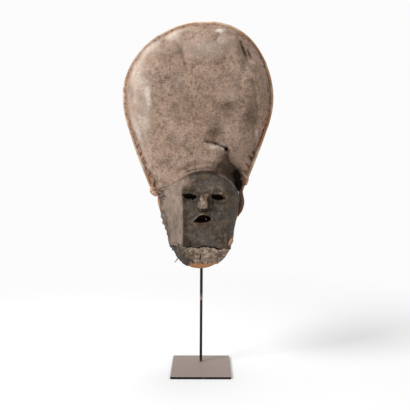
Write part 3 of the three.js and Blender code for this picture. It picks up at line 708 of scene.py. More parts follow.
# %% [markdown]
# The mask has hung in smoke, dust and rain, so its colour changes from place to place. Where it is
# worn, stained or soaked is painted as numbers from 0 to 1 on the points of the skin, and so are
# painted light where the cloth faces the light and painted shade in creases, gaps and the rip. The
# finish reads these numbers and adds the fine breaking-up by itself.

# %% Where the headdress is worn and stained, and its painted light and shade
# Each patch: its place across and up, its half sizes across and up, and its strength.
# The first table: real wear, and painted light on the left band, the top and right of the crease.
WEAR_AND_LIGHT = [(-122, 640, 20, 74, 0.28), (-131, 575, 12, 54, 0.26), (-136, 628, 9, 40, 0.2),
        (-98, 690, 18, 18, 0.3), (-112, 560, 16, 44, 0.25), (10, 694, 80, 24, 0.34),
        (38, 728, 9, 5, 1.1), (-108, 603, 9, 14, 0.8), (-106, 590, 6, 10, 0.6),
        (10, 501, 3, 1.6, 0.9), (41, 495, 5, 2.6, 1.0), (47, 488, 4, 3, 0.8),
        (27, 492, 12, 5, 0.7), (-58, 715, 16, 10, 0.5), (-42, 628, 9, 8, 0.4),
        (45, 712, 14, 12, 0.35), (62, 600, 20, 14, 0.25), (-118, 520, 16, 40, 0.3),
        (6, 450, 5, 1.6, 0.7), (118, 520, 5, 12, 0.5), (78, 470, 13, 20, 0.2)]
# The second table: real stains, and painted shade along the crease, the dark gap and the brow.
STAINS_AND_SHADE = [(28, 519, 14, 15, 0.6), (58, 556, 34, 30, 0.3), (95, 690, 22, 24, 0.4),
           (-54, 632, 26, 18, 0.3), (104, 560, 12, 44, 0.4), (-20, 600, 60, 34, 0.16),
           (118, 476, 12, 34, 0.5), (-72, 462, 26, 12, 0.3), (50, 462, 12, 20, 0.55),
           (58, 444, 17, 11, 1.0), (70, 426, 14, 14, 1.1), (80, 404, 10, 16, 1.2),
           (44, 455, 12, 8, 0.5), (-106, 428, 9, 16, 0.5), (-98, 414, 9, 9, 0.5),
           (-30, 447, 50, 5, 0.3), (60, 575, 40, 10, 0.25), (-120, 540, 8, 70, 0.25),
           (0, 575, 70, 20, 0.12)]


def patches(points, places, seed):
    """Sum of soft patches with ragged edges: bells whose distance is stretched by noise."""
    x, z = points[:, 0], points[:, 2]
    total = np.zeros(np.shape(x))
    fray = 1 + 0.35 * rough(points, 26, 4, seed)
    for spot_x, spot_z, half_x, half_z, strength in places:
        away = np.hypot((x - spot_x) / half_x, (z - spot_z) / half_z)
        total += strength * hill(away * fray)
    return total


def gap_and_rip_shade_amount(points):
    """Painted shade, black: the dark gap, the hole of the rip, and the upper side of the rip where
    it is torn open.
    """
    x, z = points[:, 0], points[:, 2]
    away, side, along = line_places(x, z, RIP_LINE)
    hole = smooth(1.6 - np.hypot(x - RIP_HOLE[0], z - RIP_HOLE[1]) / 3.4)
    torn = hill((away - 0.8 - 0.8 * noise(points, 5, 73)) / 1.3)
    torn = torn * smooth((noise(points, 7, 79) + 0.35) / 0.3)
    return np.maximum(np.maximum(gap_share(x, z), hole), torn * (side > 0) * (along < 0.98))


def stain_and_shade_amount(points):
    """Stain patches, some of them painted shade along the crease and the dark gap, painted shade
    beside crease and rip and in the folds, and a painted shadow line along the brow.
    """
    x, z = points[:, 0], points[:, 2]
    away, side, along = line_places(x, z, CREASE_LINE)
    shade = hill(away / np.where(side < 0, 9, 1.6)) * smooth(along / 0.2)
    away, side, along = line_places(x, z, RIP_LINE)
    shade = np.maximum(shade, 0.9 * hill(away / np.where(side > 0, 5, 1.2)) * smooth(along / 0.15))
    brow = hill((z - arch_top(x) - 2) / (4 + 1.5 * noise(points, 16, 71)))
    brow = brow * smooth((x + 48) / 16) * (x < 84)
    stained = patches(points, STAINS_AND_SHADE, 67) + 0.75 * shade + 0.1 * folds(x, z, NARROW_FOLDS)
    return stained + 0.34 * brow


def stitch_shade_amount(points, to_edge, high):
    """Painted shade in the stitches' dents: short dark marks in front of the cane, of uneven
    length.
    """
    x, z = points[:, 0], points[:, 2]
    angle = np.arctan2(z - MIDDLE[1], x - MIDDLE[0])
    inside = np.maximum(0, to_edge - np.interp(angle, spoke_angle, end_gap, period=2 * math.pi))
    reach = 33 + 16 * noise(flat(x, z), 11, 75)
    sewn = smooth((stitch_pull(angle, 8) - 0.06 - 0.2 * smooth(high / 40)) / 0.2)
    sewn = sewn * smooth((reach - high) / 7) * smooth((noise(points, 8, 77) + 0.5) / 0.3)
    return sewn * (inside < 12)


def headdress_masks(points):
    """All painted amounts of the headdress, for points on the front or the inside."""
    to_edge, high = edge_distance(points[:, 0], points[:, 2]), RIM_Y - points[:, 1]
    # Painted light: a lighter band where the crown's left side turns towards the light.
    shoulder = 0.3 * smooth((30 - to_edge) / 14) * smooth((to_edge - 14) / 8)
    hem = smooth((19 + 5 * noise(points, 13, 81) - to_edge) / 7)
    hem = hem * (0.8 + 0.5 * noise(points, 22, 83))
    hem = hem * smooth((50 + 8 * noise(points, 20, 85) - high) / 12)
    worn = patches(points, WEAR_AND_LIGHT, 61) + shoulder * (points[:, 0] < 0)
    amounts = {"worn": worn, "stained": stain_and_shade_amount(points), "hem": hem,
               "black": gap_and_rip_shade_amount(points), "sewn": stitch_shade_amount(points, to_edge, high)}
    return {key: np.clip(amount, 0, 1) for key, amount in amounts.items()}


masks = headdress_masks(skin_points)
headdress = make_mesh("headdress_skin", skin_points, skin_quads, skin_fans, skin_uv, masks)
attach(headdress, BODY)
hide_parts("headdress_cloth")

# %% [markdown]
# ## The face
#
# The face is one stiff sheet: a flat pale cheek at the left, a sharp ridge, a dark front, and a
# round cheek at the right. Its columns run from the seam below to the arch above. Eyes and mouth
# are pressed and cut deep into it, and their insides are painted black as shade.

# %% Columns of the face
FACE_WALL = 3.4
FACE_DEPTH, FACE_CROWN, FACE_MIDDLE_X = 100, 3, 8
RIDGE_X, TURN_X = -37, 56
LEFT_BORDER = [(-69, 275), (-77, 316), (-88, 354), (-91, 400.4)]
RIGHT_BORDER = [(64.5, 277), (73, 316), (78, 345), (83, 375)]
LEFT_COLUMNS, FRONT_COLUMNS, RIGHT_COLUMNS, FACE_ROWS = 46, 100, 38, 152
FOREHEAD_FROM = 0.68
BROW_ROLL = (411, 9, 2.5)
EYES = [(-21, 391.5, 14, 5.8, -0.1), (36, 390, 13.5, 6.2, -0.2)]
EYE_HOLLOW = (6, 17, 11)
MOUTH_X, MOUTH_Z = 7, 346
MOUTH_LEFT, MOUTH_PEAK, MOUTH_RIGHT = (-13, 341.5), (6.5, 355), (24.5, 344.5)
MOUTH_DROP = 4
NOSTRILS = (13, 365.8, 9.5, 2.0)
MOUTH_FULL = (4, 26, 18)
PIT_FLOOR = 84


def face_columns():
    """For each column: its foot and head across, how much of the side border's bend it takes, its
    share of the front's depth, and whether it lies on the right."""
    t = 1 - np.arange(LEFT_COLUMNS) / LEFT_COLUMNS
    left = [mix(RIDGE_X, LEFT_BORDER[0][0], t), mix(RIDGE_X, LEFT_BORDER[-1][0], t), t, 1 - t]
    x = np.linspace(RIDGE_X, TURN_X, FRONT_COLUMNS + 1)
    middle = [x, x, 0 * x, 1 + 0 * x]
    t = np.arange(1, RIGHT_COLUMNS + 1) / RIGHT_COLUMNS
    pull = np.sin(t * math.pi / 2)
    turn = math.acos((TURN_X - ARCH_X) / ARCH_HALF)
    head = ARCH_X + ARCH_HALF * np.cos(turn * (1 - t))
    right = [mix(TURN_X, RIGHT_BORDER[0][0], pull), head, pull, np.cos(t * math.pi / 2)]
    foot, top, bend, share = (np.concatenate(parts) for parts in zip(left, middle, right))
    is_right = np.arange(len(foot)) > LEFT_COLUMNS + FRONT_COLUMNS
    return foot, top, bend, share, is_right


def front_depth(x, z):
    """The front before its details: crowned, hollow round each eye, full over the mouth."""
    depth = FACE_DEPTH + FACE_CROWN * np.cos((x - FACE_MIDDLE_X) / 34)
    sunk, wide, high = EYE_HOLLOW
    for eye_x, eye_z, _, _, _ in EYES:
        depth = depth - sunk * hill((x - eye_x) / wide) * hill((z - eye_z) / high)
    lift, wide, high = MOUTH_FULL
    depth = depth + lift * hill((x - MOUTH_X) / wide) * hill((z - MOUTH_Z) / high)
    middle, high, lift = BROW_ROLL
    return depth + lift * hill((z - middle) / high)


def arch_depth(x, z):
    """Depth of the arch's edge: let into the headdress at the left and above, free at the right."""
    free = mix(66, 36, smooth((x - 40) / 43))
    lapped = crown_depth(x, z, edge_distance(x, z)) - 1.5
    return mix(lapped, free, smooth((x - 34) / 16))


def face_sheet(v):
    """The face without details: each column is a straight line bent by its border, and the forehead
    rounds back to the arch as a quarter of an ellipse."""
    foot, top, bend, share, is_right = face_columns()
    v = v[:, None]
    start, finish = np.stack([foot, seam_height(foot)], -1), np.stack([top, arch_top(top)], -1)
    left, right = np.array(LEFT_BORDER, float), np.array(RIGHT_BORDER, float)
    bow_left = spline(left, v[:, 0]) - mix(left[0], left[-1], v)
    bow_right = spline(right, v[:, 0]) - mix(right[0], right[-1], v)
    bow = np.where(is_right[None, :, None], bow_right[:, None], bow_left[:, None])
    at = mix(start, finish, v[..., None]) + bow * bend[:, None]
    x, z = at[..., 0], at[..., 1]
    free_edge = arch_depth(top, arch_top(top))
    on_cane = np.where(is_right, smooth((v - 0.7) / 0.3), 0)
    side = mix(RIM_DEPTH, free_edge, on_cane)
    t = np.maximum(0, (v - FOREHEAD_FROM) / (1 - FOREHEAD_FROM))
    rise = np.sqrt(np.maximum(0, 1 - t * t))
    full = mix(side, front_depth(np.maximum(x, RIDGE_X), z), share)
    return x, z, mix(free_edge, full, rise), share


row = np.linspace(0, 1, FACE_ROWS)
face_v = mix(row, np.sin(row * math.pi / 2), 0.5)
face_x, face_z, face_d, face_share = face_sheet(face_v)
print("face grid", face_x.shape)

# %% [markdown]
# Each opening is an edge function that is positive inside and counts millimetres from the edge.
# The same function, grown a little, gives the lids, the lips and the wall behind the pit.

# %% Eyes, mouth and nose
def eye_edge(x, z, eye):
    """Inside an almond: 1 minus the sum of powers of the two half-size ratios, in millimetres."""
    eye_x, eye_z, half, high, tilt = eye
    c, s = math.cos(tilt), math.sin(tilt)
    u = ((x - eye_x) * c + (z - eye_z) * s) / half
    w = ((z - eye_z) * c - (x - eye_x) * s) / high
    ratio = (np.abs(u) ** 1.7 + np.abs(w) ** 1.9 + 1e-9) ** 0.55
    return (1 - ratio) * high


def mouth_edge(x, z):
    """Inside the mouth: below two slopes that meet at a peak and above a shallow parabola."""
    (left, left_z), (peak, peak_z), (right, right_z) = MOUTH_LEFT, MOUTH_PEAK, MOUTH_RIGHT
    t = np.clip((x - left) / (right - left), 0, 1)
    up = np.sin(np.clip((x - left) / (peak - left), 0, 1) * math.pi / 2) ** 0.9
    down = np.sin(np.clip((right - x) / (right - peak), 0, 1) * math.pi / 2) ** 0.8
    over = np.maximum(np.maximum(left - x, x - right), 0)
    upper = np.where(x < peak, mix(left_z, peak_z, up), mix(right_z, peak_z, down))
    lower = mix(left_z, right_z, t) - MOUTH_DROP * 4 * t * (1 - t)
    return np.minimum(upper - z, z - lower) - over


def nostril_edge(x, z):
    """Inside a flat ellipse under the nose."""
    middle_x, middle_z, half_x, half_z = NOSTRILS
    return (1 - np.hypot((x - middle_x) / half_x, (z - middle_z) / half_z)) * half_z


# Each part of the nose: its place across and up, its top, and its half sizes across, deep and up.
NOSE = [(7, 386, 114, 8, 14, 13), (7.5, 376, 121, 10, 20, 9.5), (-2, 372, 113, 6, 10, 5.5),
        (19, 373, 112, 6.5, 9, 6.5)]
CRUMBS = [(3, 387, 2.6, 3.0), (9, 382, 3.2, 3.2), (14, 378, 2.4, 3.0), (-1, 379, 2.6, 3),
          (20, 374, 2.8, 2.6), (4, 394, 2.4, 2.6), (11, 371, 2.8, 3), (1, 370, 2.2, 2.8),
          (16, 384, 2.2, 2.2), (12, 392, 1.8, 2), (22, 381, 2, 2), (-4, 366, 1.6, 2.4)]
TEETH = [(12.2, 345.0, 1.5, 104), (23.0, 346.2, 1.3, 104), (4, 342.5, 1.3, 99),
         (17.5, 344, 1.2, 100), (-4, 342.6, 1.2, 99)]


def carved_depth(x, z, depth):
    """The front with its details, from the plain depth: nose, lids, lips, then the pits."""
    at = flat(x, z)
    grit = rough(at, 3.2, 2, 83)
    for nose_x, nose_z, top, half_x, deep, half_z in NOSE:
        dome = 1 - ((x - nose_x) / half_x) ** 2 - ((z - nose_z) / half_z) ** 2
        surface = top - deep * (1 - np.sqrt(np.maximum(0, dome))) + 1.1 * grit
        surface = surface + 1.6 * rough(at, 5.5, 2, 85)
        depth = np.where(dome > 0, np.maximum(depth, surface), depth)
    for crumb_x, crumb_z, lift, size in CRUMBS:
        crumb = lift * hill(np.hypot(x - crumb_x, z - crumb_z) / size)
        depth = depth + crumb * (0.8 + 0.4 * grit)
    mouth = mouth_edge(x, z) + 0.6 * grit + 0.7 * noise(at, 5, 87)
    upper = smooth((z - 347 - 0.3 * (x + 12)) / 3 + 0.5)
    lip = hill((mouth + 2.4) / 1.9) * mix(0.75, mix(1.5, 0.7, smooth((x - 6) / 12)), upper)
    depth = depth + (3.6 + 1.4 * rough(at, 6, 2, 89)) * lip
    depth = depth - 7 * smooth(nostril_edge(x, z) / 1.4 + 0.6)
    for eye in EYES:
        edge = eye_edge(x, z, eye) + 1.3 * rough(at, 5, 3, 97) - 0.4
        lid_above = hill((edge + 2.2) / 1.6) * smooth((z - eye[1] + 1) / 3)
        lid_below = hill((edge + 2.8) / 1.9) * smooth((eye[1] - z + 1) / 3)
        depth = depth + 1.0 * lid_above + 1.6 * lid_below - 1.6 * hill((edge + 6) / 2.4)
        depth = mix(depth, PIT_FLOOR + 0.8 * grit, smooth(edge / 1.5 + 0.4))
    tooth_floor = PIT_FLOOR + grit
    for tooth_x, tooth_z, size, top in TEETH:
        tooth_floor = mix(tooth_floor, top, smooth(1.6 - np.hypot(x - tooth_x, z - tooth_z) / size))
    return mix(depth, tooth_floor, smooth(mouth / 1.6 + 0.4))


def behind_depth(x, z, depth):
    """The inside of the face bulges back behind each pit, so that the pit's wall closes it."""
    for edge in [mouth_edge(x, z)] + [eye_edge(x, z, eye) for eye in EYES]:
        depth = mix(depth, PIT_FLOOR - 0.2, smooth((edge + 5) / 3.5))
    return depth


on_front = smooth((face_share - 0.93) / 0.07)
below_arch = smooth((1 - face_v[:, None]) / 0.02)
carved = mix(face_d, carved_depth(face_x, face_z, face_d), on_front * below_arch)
closed_behind = mix(face_d, behind_depth(face_x, face_z, face_d), on_front)
print("deepest pit", carved[40:-40, 50:-50].min(), "highest point", carved.max())

# %% [markdown]
# Small bumps, dents and drips of resin are added along the sheet's own normals, because the
# cheeks face sideways. Threads of the coarse cloth show through where the resin is thin.

# %% Face mesh
SMALL_PITS = [(-30, 331, 2.2, 2.5), (-33, 352, 1.8, 2), (33, 331, 2.6, 2.6), (52, 322, 2, 2.4),
              (-6, 312, 2.6, 2.2), (38, 306, 2, 2.2), (12, 318, 1.8, 2), (20, 424, 1.8, 2.4),
              (-12, 421, 1.6, 2), (48, 404, 1.6, 2)]
CHEEK_LUMPS = [(-97, 401, 5, 7), (-90, 386, 3.4, 6), (-82, 340, 4, 4.5), (-80, 326, 4.5, 5),
               (-78, 313, 3.5, 4.5), (-75, 300, 2.6, 4)]
CHEEK_HOLES = [(-88, 389, 4, 2.2), (-83, 392, 3, 1.7), (-80, 387, 4, 2), (-84.5, 383, 3, 1.9),
               (-77, 384, 3, 1.6), (-86, 396, 3, 1.5), (-79, 379, 2, 1.4), (-57, 287, 3, 1.8),
               (-46, 289.5, 3, 2), (-51, 290, 2.4, 1.4)]
TUCK_ROWS, TUCK_BACK, TUCK_DROP, TUCK_WALL = 9, 5.2, 11, 1.2


def spots(x, z, places):
    """Sum of bells: each spot has a place, a height and a size."""
    total = np.zeros(np.shape(x))
    for spot_x, spot_z, high, size in places:
        total += high * hill(np.hypot(x - spot_x, z - spot_z) / size)
    return total


at_face = place(face_x, face_z, face_d)
face_way = grid_normals(at_face)
calm = smooth(np.minimum(face_v, 1 - face_v)[:, None] / 0.02)
cheek = 1 - on_front
face_bumps = 1.0 * rough(at_face, 30, 2, 101) + 0.5 * rough(at_face, 9, 3, 103)
face_bumps = face_bumps - spots(face_x, face_z, SMALL_PITS) * on_front
cheek_bumps = spots(face_x, face_z, CHEEK_LUMPS) - spots(face_x, face_z, CHEEK_HOLES)
cheek_folds = 0.8 * np.sin(face_z / 6.5 + 3 * noise(at_face, 40, 107)) * cheek
face_bumps = (face_bumps + cheek * cheek_bumps + cheek_folds) * mix(0.35, 1, calm)
face_front = place(face_x, face_z, carved) + face_way * face_bumps[..., None]
ragged = 0.9 * rough(at_face, 5, 2, 109) * smooth((0.012 - face_v[:, None]) / 0.012)
face_front[..., 2] += ragged
face_back = place(face_x, face_z, closed_behind) - face_way * FACE_WALL


def tuck():
    """The face's cloth runs on below the seam: it turns back behind the chin cloth and hangs there,
    so that the tear shows this strip, painted black as shade, and not the room behind."""
    down = np.linspace(1, 0, TUCK_ROWS)[:, None, None]
    edge, way = face_front[:1], face_way[:1]
    turned = edge - way * (TUCK_BACK * smooth(down * 2.5))
    hanging = turned + down * np.array([0, 0, -TUCK_DROP])
    return hanging[:-1], hanging[:-1] - way * TUCK_WALL


tuck_front, tuck_back = tuck()
face_front = np.concatenate([tuck_front, face_front])
face_back = np.concatenate([tuck_back, face_back])
below_seam = tuck_front[..., 2] - face_front[len(tuck_front), :, 2]
across, upward = walked(at_face, 1), walked(at_face, 0)
across = np.concatenate([np.repeat(across[:1], len(tuck_front), 0), across])
upward = np.concatenate([below_seam, upward])
face_uv = np.stack([across, upward], -1).reshape(-1, 2) * MM
print("face sheet", across.max(), "by", upward.max(), "millimetres")

# %% [markdown]
# The finish needs to know where the face is pale, crusted, flecked or red, where highlights are
# painted on edges, and where painted shade darkens it or turns it black. Most of these patches are
# ovals with soft edges, and lattice noise breaks them up.

# %% Where the face is dark, pale or crusted
FLECKS = [(38.5, 358, 1.5), (38, 303, 1.3), (39.6, 292, 1.2), (22, 380, 0.9), (-28, 372, 0.5),
          (52, 376, 0.6), (31, 311, 0.5)]
CRUMBS_IN_MOUTH = [(17.5, 344.5, 1, 1.7), (4, 343, 1, 1.6), (-4, 343, 1, 1.5),
                   (9, 346, 0.8, 1.2), (0.5, 347, 0.7, 1.2), (20, 348, 0.7, 1.2)]
NOSE_HOLES = [(19, 369, 1.2, 2.4), (15, 375, 1, 1.5), (12, 363, 1.3, 2)]


def oval(x, z, half_x, half_z):
    """How far the face's points lie from a place, counted in the half sizes of an oval round it."""
    return np.hypot((face_x - x) / half_x, (face_z - z) / half_z)


def pale_and_highlight_amount():
    """The pale cheek up to the ridge, the corner of the brow, and two painted highlights: a thin
    line along the ridge and one along the arch's edge at the right."""
    pale = smooth((RIDGE_X - face_x + 0.5 + 1.2 * noise(at_face, 5, 113)) / 3)
    pale = pale * smooth((face_z - 268) / 12) * mix(0.8, 1, smooth((face_z - 330) / 50))
    pale = pale * (0.9 + 0.25 * rough(at_face, 18, 3, 127))
    above = face_z - 404 - 0.5 * (face_x + 37) - 6 * noise(at_face, 14, 115)
    pale = np.maximum(pale, smooth(above / 12) * smooth((-14 - face_x) / 26) * (1 - cheek))
    ridge_highlight = hill((face_x - RIDGE_X - 0.3) / 1.1)
    ridge_highlight = ridge_highlight * smooth((395 - face_z) / 6) * smooth((face_z - 283) / 5)
    arch_edge_highlight = hill((face_v[:, None] - 0.985) / 0.016) * smooth((face_x - 28) / 14)
    arch_edge_highlight = arch_edge_highlight * (0.8 + 0.3 * noise(at_face, 9, 121))
    return np.maximum(np.maximum(pale, ridge_highlight), arch_edge_highlight)


def crust_amount(mouth):
    """Brown crust: beside the right eye, on brow, nose, upper lip and jaw, and on the lumps."""
    nose = hill((oval(6, 380, 10.5, 15) * (1 + 0.3 * rough(at_face, 7, 3, 129))) ** 2)
    upper_lip = (0.75 + 0.6 * noise(at_face, 6, 101)) * hill((mouth + 2.4) / 2.4)
    upper_lip = upper_lip * smooth((face_z - 343 - 0.3 * (face_x + 12)) / 3)
    upper_lip = upper_lip * smooth((10 - face_x) / 8)
    crust = 0.9 * hill(oval(41, 397.5, 3.4, 2.6)) + 0.45 * hill(oval(30, 408, 30, 16))
    crust = crust + 1.1 * nose + 1.1 * upper_lip + 0.35 * hill(oval(8, 312, 36, 18)) * (1 - cheek)
    crust = crust * (0.75 + 0.5 * rough(at_face, 6, 3, 131))
    return crust + 0.1 * spots(face_x, face_z, CHEEK_LUMPS) * cheek


def pit_shade_amount(mouth):
    """Painted shade, black inside mouth, nostril and eyes, with ragged edges, and in holes of nose
    and cheek.
    """
    in_mouth = smooth((mouth + 1.5 * rough(at_face, 5, 3, 99)) / 1.6 + 0.55)
    pit = np.maximum(in_mouth, smooth(nostril_edge(face_x, face_z) / 1.2 + 0.9)) * on_front
    fray = 3.2 * rough(at_face, 5, 3, 97)
    for eye in EYES:
        in_eye = smooth((eye_edge(face_x, face_z, eye) + fray) / 1.6 + 0.5)
        pit = np.maximum(pit, in_eye * on_front)
    pit = np.maximum(pit, np.clip(spots(face_x, face_z, NOSE_HOLES), 0, 1))
    holes = spots(face_x, face_z, CHEEK_HOLES) + 0.8 * noise(at_face, 3, 119)
    return np.maximum(pit, smooth((holes - 1.0) / 1.2) * cheek)


def red_amount(mouth):
    """Reddish brown on the lower lip and high on the right of the nose."""
    red = (0.55 + 1.1 * rough(at_face, 5, 3, 133)) * hill((mouth + 2.4) / 2.6)
    red = red * smooth((346 + 0.25 * face_x - face_z) / 4 + 0.6) * on_front
    return red + (0.4 + 1.5 * rough(at_face, 4, 3, 135)) * hill(oval(17.5, 384, 5.5, 8))


def shade_and_darkening_amount(crust):
    """Painted shade under the arch, beside the ridge, round the nose and at its right, and round
    the eyes; also darker low at the left and along the cheek's outer border."""
    dirty = hill((face_v[:, None] - 0.985) / 0.03)
    dirty = dirty * smooth((face_x + 50) / 18) * smooth((52 - face_x) / 20)
    dirty = dirty + 0.7 * hill((face_x - RIDGE_X - 6) / 7) * on_front * smooth((400 - face_z) / 20)
    dirty = dirty + 0.7 * hill(oval(20, 377, 8, 12)) * (1 - crust)
    round_nose = 0.8 * hill((oval(6, 379, 11.5, 17) - 1.05) / 0.2)
    dirty = dirty + round_nose * on_front * (1 - np.clip(crust, 0, 1))
    dirty = dirty + 0.9 * hill(oval(-26, 288, 14, 16)) * on_front
    border = smooth((0.42 - face_share) / 0.4) * (face_x < 0) * cheek
    dirty = dirty + 0.8 * border * smooth(noise(at_face, 9, 123) + 0.35) + 0.5 * border
    for eye_x, eye_z, _, _, _ in EYES:
        dirty = dirty + 0.7 * hill(oval(eye_x, eye_z + 2, 19, 11)) * on_front
    return dirty


def face_masks():
    """All painted amounts of the face. White flecks and crumbs lie on top of the black."""
    mouth = mouth_edge(face_x, face_z)
    crust = crust_amount(mouth)
    fleck = spots(face_x, face_z, [(x, z, 1, size) for x, z, size in FLECKS])
    fleck = fleck + spots(face_x, face_z, [(x, z, 1.3, size) for x, z, size, _ in TEETH[:2]])
    fleck = np.clip(fleck, 0, 1)
    crumbs = np.clip(spots(face_x, face_z, CRUMBS_IN_MOUTH), 0, 1)
    amounts = {"pale": pale_and_highlight_amount(), "crust": crust,
               "pit": pit_shade_amount(mouth) * (1 - fleck) * (1 - 0.75 * crumbs), "fleck": fleck,
               "red": red_amount(mouth), "dirty": shade_and_darkening_amount(crust)}
    return {key: np.clip(amount, 0, 1) for key, amount in amounts.items()}


def with_tuck(key, amount):
    """The masks of the whole sheet: the hanging strip is painted black as shade, the inside keeps
    the pale cheek.
    """
    strip = np.full(tuck_front.shape[:2], 1.0 if key == "pit" else 0.0)
    whole = np.concatenate([strip, amount])
    return np.concatenate([whole.ravel(), whole.ravel() * (key == "pale")])


face_paint = {key: with_tuck(key, amount) for key, amount in face_masks().items()}
face_points = np.concatenate([face_front.reshape(-1, 3), face_back.reshape(-1, 3)])
face = make_mesh("face_skin", face_points, two_sided(face_front), None,
                 np.concatenate([face_uv, face_uv]), face_paint)
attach(face, BODY)
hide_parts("face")

# %% [markdown]
# ## The chin cloth
#
# Below a long open tear the chin is a separate strip of bare cloth, bent over the chin hoop as a
# quarter round. Its upper edge has come loose, is frayed and catches the light.

# %% Chin cloth
CHIN_ROWS, CHIN_BULGE = 64, 2.5
CHIN_FROM, CHIN_TO = 5.65, 12.3
CHIN_WALL = 3.2
CHIN_TEAR = (0, 264, 13, 1.5)

face_foot = np.stack([face_x[0], RIM_Y - face_d[0], face_z[0]], -1)
chin_across = np.linspace(0, 1, face_foot.shape[0])
chin_line_points = chin_points(2.2)
chin_span = mix(CHIN_FROM, CHIN_TO, chin_across) / (len(chin_line_points) - 1)
chin_foot = spline(chin_line_points, chin_span)
bare_hoop = 3.8 * smooth((chin_foot[:, 0] + 33) / 10) * smooth((38 - chin_foot[:, 0]) / 10)
bare_hoop = bare_hoop + 1.2 + 0.9 * noise(flat(chin_foot[:, 0], chin_foot[:, 1]), 4, 141)
outward = chin_foot - [CHIN_X, CHIN_Z]
outward = outward / np.linalg.norm(outward, axis=-1, keepdims=True)
chin_foot = chin_foot - outward * bare_hoop[:, None]


def chin_sheet():
    """A quarter round from the hoop (angle 90 degrees) to the seam (angle 0), fuller half way."""
    angle = ((1 - np.linspace(0, 1, CHIN_ROWS)) * math.pi / 2)[:, None]
    top_depth = RIM_Y - face_foot[:, 1]
    even_depth = np.convolve(np.pad(top_depth, 22, mode="edge"), np.ones(45) / 45, mode="valid")
    low = smooth(angle / 0.9)
    x = mix(face_foot[:, 0], chin_foot[:, 0], np.sin(angle))
    crack = 0.8 + 2.4 * smooth((face_foot[:, 0] + 10) / 8) * smooth((44 - face_foot[:, 0]) / 12)
    z = mix(face_foot[:, 2] - crack, chin_foot[:, 1], np.sin(angle))
    bulge = CHIN_BULGE * np.sin(2 * angle) * smooth((top_depth - RIM_DEPTH) / 60)
    top_depth = mix(top_depth, even_depth, low)
    return place(x, z, mix(NIP_DEPTH, top_depth, np.cos(angle)) + bulge)


chin_plain = chin_sheet()
chin_way = grid_normals(chin_plain)
chin_up = np.linspace(0, 1, CHIN_ROWS)[:, None]
cx, cz = chin_plain[..., 0], chin_plain[..., 2]
tear = hill((cx - CHIN_TEAR[0] - 0.8 * np.sin(cz / 3)) / CHIN_TEAR[3])
tear = tear * hill((cz - CHIN_TEAR[1]) / CHIN_TEAR[2]) ** 2
pleats = np.abs(np.sin(cx / 3.1 + noise(chin_plain, 9, 149)))
chin_bumps = 0.9 * rough(chin_plain, 22, 2, 137) + 0.5 * rough(chin_plain, 6, 3, 139)
chin_bumps = chin_bumps + 1.2 * smooth((chin_up - 0.93) / 0.07) - 7 * tear
gathers = 1.1 * pleats * smooth((0.22 - chin_up) / 0.22)
chin_front = chin_plain + chin_way * (chin_bumps - gathers)[..., None]
frayed = (1.3 * rough(chin_plain, 4, 3, 151) - 0.8) * smooth((chin_up - 0.97) / 0.03)
chin_front[..., 2] += frayed
chin_back = chin_plain - chin_way * CHIN_WALL
chin_back[..., 2] += np.minimum(frayed, 0)
print("chin cloth", chin_plain.shape)

# %% [markdown]
# The chin's finish needs its own amounts. They follow the sheet's rows from the hoop up to the torn
# edge, and its columns from left to right.

# %% Where the chin is pale, stained, rusty or in painted shade
def chin_masks():
    """Pale near the frayed edge; darker at the left, in a band low down and in ticks along the
    pleats;
    painted shade in the tear; dark crumbs along the edge; and rust where the bare hoop shows."""
    pale = smooth((chin_up - 0.86) / 0.1) + 0.25 * rough(chin_plain, 12, 3, 157)
    stained = smooth((-12 - cx + 14 * rough(chin_plain, 14, 3, 159)) / 30)
    stained = stained * mix(1.1, 0.55, chin_up) + 0.9 * tear
    ticks = smooth((pleats - 0.75) / 0.2) * hill((chin_up - 0.57) / 0.09)
    stained = stained + 0.35 * hill((chin_up - 0.32) / 0.16) + 0.7 * ticks
    crumb = noise(chin_plain, 4.5, 161) - mix(-0.1, 0.25, smooth((cx + 34) / 20))
    crumb = smooth(crumb / 0.4) * smooth((chin_up - 0.72) / 0.2)
    crumb = crumb * mix(1.6, 0.5, smooth((cx + 24) / 20))
    rust = smooth((0.58 - chin_up + 0.09 * noise(chin_plain, 6, 165)) / 0.12)
    rust = rust * smooth((cx + 30) / 12) * smooth((40 - cx) / 10)
    rust = rust + 0.35 * smooth((cx - 30) / 30) * (0.6 + noise(chin_plain, 8, 167))
    amounts = {"pale": pale, "stained": stained, "crumb": crumb, "rust": rust}
    return {key: np.clip(amount, 0, 1) for key, amount in amounts.items()}


chin_uv = np.stack([walked(chin_plain, 1), walked(chin_plain, 0)], -1).reshape(-1, 2) * MM
chin = make_mesh("chin_skin", np.concatenate([chin_front.reshape(-1, 3), chin_back.reshape(-1, 3)]),
                 two_sided(chin_front), None, np.concatenate([chin_uv, chin_uv]),
                 {key: np.concatenate([amount.ravel(), amount.ravel() * (key != "rust")])
                  for key, amount in chin_masks().items()})
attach(chin, BODY)
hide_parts("chin_cloth")

# %% [markdown]
# ## Canes, cords and sticks
#
# Everything long and thin is made by one tool: rings round a path, each an oval that can be wide
# and thin for a strip of cloth. Many strands can be made at once, since the path may be a whole
# table of paths.

# %% Strands
FORWARD = np.array([0, -1.0, 0])


def unit(v):
    """Vectors of length 1."""
    return v / np.maximum(np.linalg.norm(v, axis=-1, keepdims=True), 1e-9)


def rings(path, side, half_wide, half_thick, sides):
    """Ovals round a path: the side direction times the cosine and its cross direction times the
    sine of the angle round the path."""
    along = unit(np.gradient(path, axis=-2))
    side = unit(side - (side * along).sum(-1, keepdims=True) * along)
    other = np.cross(along, side)
    turn = 2 * math.pi * np.arange(sides) / sides
    wide = (half_wide[..., None] * np.cos(turn))[..., None] * side[..., None, :]
    thick = (half_thick[..., None] * np.sin(turn))[..., None] * other[..., None, :]
    return path[..., None, :] + wide + thick


